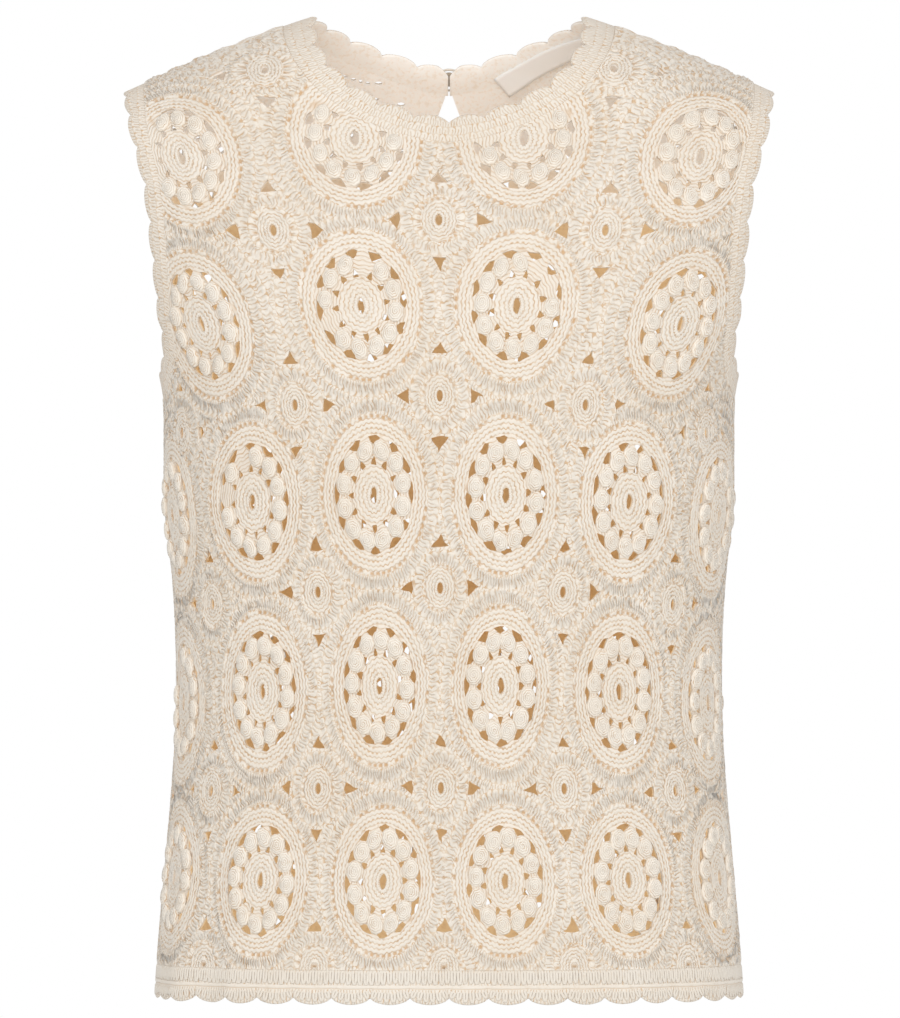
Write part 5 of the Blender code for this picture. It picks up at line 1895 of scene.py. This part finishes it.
def satin_material():
    """White satin ribbon: fine threads across its width, a soft gloss and a faint painted glow."""
    made, tree, shader = new_material("label_satin", {
        "Sheen Weight": 0.3,
        # A faint painted glow, the same as the cotton's by the neck.
        "Emission Color": (1.0, 0.99, 0.97, 1),
        "Emission Strength": THROUGH_GLOW,
    })
    place = placed(tree, "ShaderNodeUVMap", uv_map="ribbon")["UV"]
    inputs = {"Vector": place, "Scale": 34.0, "Distortion": 0.6}
    thread = placed(tree, "ShaderNodeTexWave", inputs, bands_direction="X")["Fac"]
    tones = {0: thread, 6: (0.93, 0.935, 0.93, 1), 7: (0.97, 0.975, 0.975, 1)}
    tone = placed(tree, "ShaderNodeMix", tones, data_type="RGBA")[2]
    gloss = placed(tree, "ShaderNodeMapRange", {"Value": thread, "To Min": 0.28, "To Max": 0.45})
    link = tree.links.new
    link(tone, shader["Base Color"])
    link(gloss["Result"], shader["Roughness"])
    link(bumped(tree, thread, strength=0.25, distance=0.0002), shader["Normal"])
    return made


def turned_button():
    """The button, turned about its middle and stood on the neck band."""
    height = NECK_FREE[BACK][0][1] - BUTTON_BELOW_EDGE
    foot, normal = cloth_frame(BACK, [(0.0, height)])
    turn = Vector(normal[0]).to_track_quat("Z", "Y").to_matrix()
    points = []
    for radius, lift in BUTTON_SECTION:
        for angle in even_turns(BUTTON_SEGMENTS):
            spot = Vector((
                math.cos(angle) * radius * BUTTON_RADIUS,
                math.sin(angle) * radius * BUTTON_RADIUS,
                SEAM_GAP + lift * BUTTON_THICKNESS,
            ))
            points.append(Vector(foot[0]) + turn @ spot)
    faces = [tuple(reversed(face)) for face in ring_faces(len(BUTTON_SECTION), BUTTON_SEGMENTS)]
    faces.append(tuple(range(BUTTON_SEGMENTS)))
    base = (len(BUTTON_SECTION) - 1) * BUTTON_SEGMENTS
    faces.append(tuple(reversed(range(base, base + BUTTON_SEGMENTS))))
    return new_object("button", np.array(points), faces, np.zeros(len(points)))


button = turned_button()
button.data.materials.append(resin_material())
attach(button, "root")
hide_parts("back_button")


def yarn_along_tree():
    """Geometry Nodes that lay a round yarn along the edges of a guide mesh."""
    tree, given, result = new_group("yarn_along", "GeometryNodeTree", (
        ("Geometry", "Geometry", None),
        ("Yarn Radius", "Float", 0.0007),
        ("Sides", "Int", 8),
        ("Yarn", "Material", None),
    ), (("Geometry", "Geometry"),))
    tree.is_modifier = True
    path = placed(tree, "GeometryNodeMeshToCurve", {"Mesh": given.outputs["Geometry"]})
    section = placed(tree, "GeometryNodeCurvePrimitiveCircle", {
        "Resolution": given.outputs["Sides"], "Radius": given.outputs["Yarn Radius"],
    })
    tube = placed(tree, "GeometryNodeCurveToMesh", {
        "Curve": path["Curve"], "Profile Curve": section["Curve"], "Fill Caps": True,
    })
    smooth = placed(tree, "GeometryNodeSetShadeSmooth", {"Geometry": tube["Mesh"]})
    finish_tree(tree, smooth["Geometry"], given, result)
    return tree


loop_radius = BUTTON_RADIUS + LOOP_YARN_RADIUS + LOOP_CLEARANCE
loop_middle = (0.0, NECK_FREE[BACK][0][1] - BUTTON_BELOW_EDGE)
loop_places = oval(loop_middle, loop_radius, loop_radius, even_turns(LOOP_PLACES))
loop_points = cloth_points(BACK, loop_places, SEAM_GAP + LOOP_YARN_RADIUS * LOOP_SEAT)
loop_path = bpy.data.meshes.new("loop_path")
loop_edges = [(i, (i + 1) % LOOP_PLACES) for i in range(LOOP_PLACES)]
loop_path.from_pydata(loop_points.tolist(), loop_edges, [])
button_loop = grown("yarn_loop", yarn_along_tree(), loop_path,
                    {"Yarn Radius": LOOP_YARN_RADIUS, "Sides": LOOP_SIDES, "Yarn": stitch_cotton})
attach(button_loop, "root")
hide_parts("button_loop")


def grid_faces(columns, rows, first, flip):
    """Quads over a grid of points, facing either way."""
    faces = []
    for row in range(rows - 1):
        for i in range(columns - 1):
            here = first + row * columns + i
            quad = (here, here + 1, here + columns + 1, here + columns)
            faces.append(quad[::-1] if flip else quad)
    return faces


def grid_rim(columns, rows):
    """The points round the edge of a grid, in order."""
    last = columns * rows - 1
    return [
        *range(columns), *range(2 * columns - 1, last, columns),
        *range(last, last - columns, -1), *range(last - 2 * columns + 1, 0, -columns),
    ]


def satin_label():
    """The label: a short piece of ribbon, a little buckled."""
    line = NECK_FREE[BACK]
    reach = (LABEL_START, LABEL_START + LABEL_WIDTH)
    left, right = line_at(line, np.interp(reach, lengths_along(line), np.arange(len(line))))
    chord = (right - left) / np.linalg.norm(right - left)
    down = np.array((chord[1], -chord[0]))
    grid = np.meshgrid(np.linspace(0, 1, LABEL_COLUMNS), np.linspace(0, 1, LABEL_ROWS))
    share, fall = (values.ravel() for values in grid)
    places = left + np.outer(share * LABEL_WIDTH, chord)
    places += np.outer(LABEL_BELOW_EDGE + fall * LABEL_HEIGHT, down)
    buckle = LABEL_BUCKLE * np.sin(share * LABEL_WAVES[0] + fall * LABEL_WAVES[1])
    buckle += LABEL_CURL * fall ** 2 * (1 - share) ** 3
    lift = WALL + SEAM_GAP + LABEL_LIFT + buckle
    near = cloth_points(BACK, places, -lift)
    far = cloth_points(BACK, places, -lift + LABEL_THICKNESS * LABEL_FACES_APART)
    points = np.concatenate((near, far))
    total = LABEL_COLUMNS * LABEL_ROWS
    faces = grid_faces(LABEL_COLUMNS, LABEL_ROWS, 0, False)
    faces += grid_faces(LABEL_COLUMNS, LABEL_ROWS, total, True)
    rim = grid_rim(LABEL_COLUMNS, LABEL_ROWS)
    for here, there in zip(rim, rim[1:] + rim[:1]):
        faces.append((there, here, here + total, there + total))
    made = new_object("satin_label", points, faces, np.zeros(len(points)))
    spots = np.tile(np.stack((share * LABEL_WIDTH / LABEL_HEIGHT, fall), axis=1), (2, 1))
    corner = np.empty(len(made.data.loops), int)
    made.data.loops.foreach_get("vertex_index", corner)
    ribbon = made.data.uv_layers.new(name="ribbon")
    ribbon.data.foreach_set("uv", spots[corner].astype(np.float32).ravel())
    return made


label = satin_label()
label.data.materials.append(satin_material())
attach(label, "root")
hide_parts("neck_label")
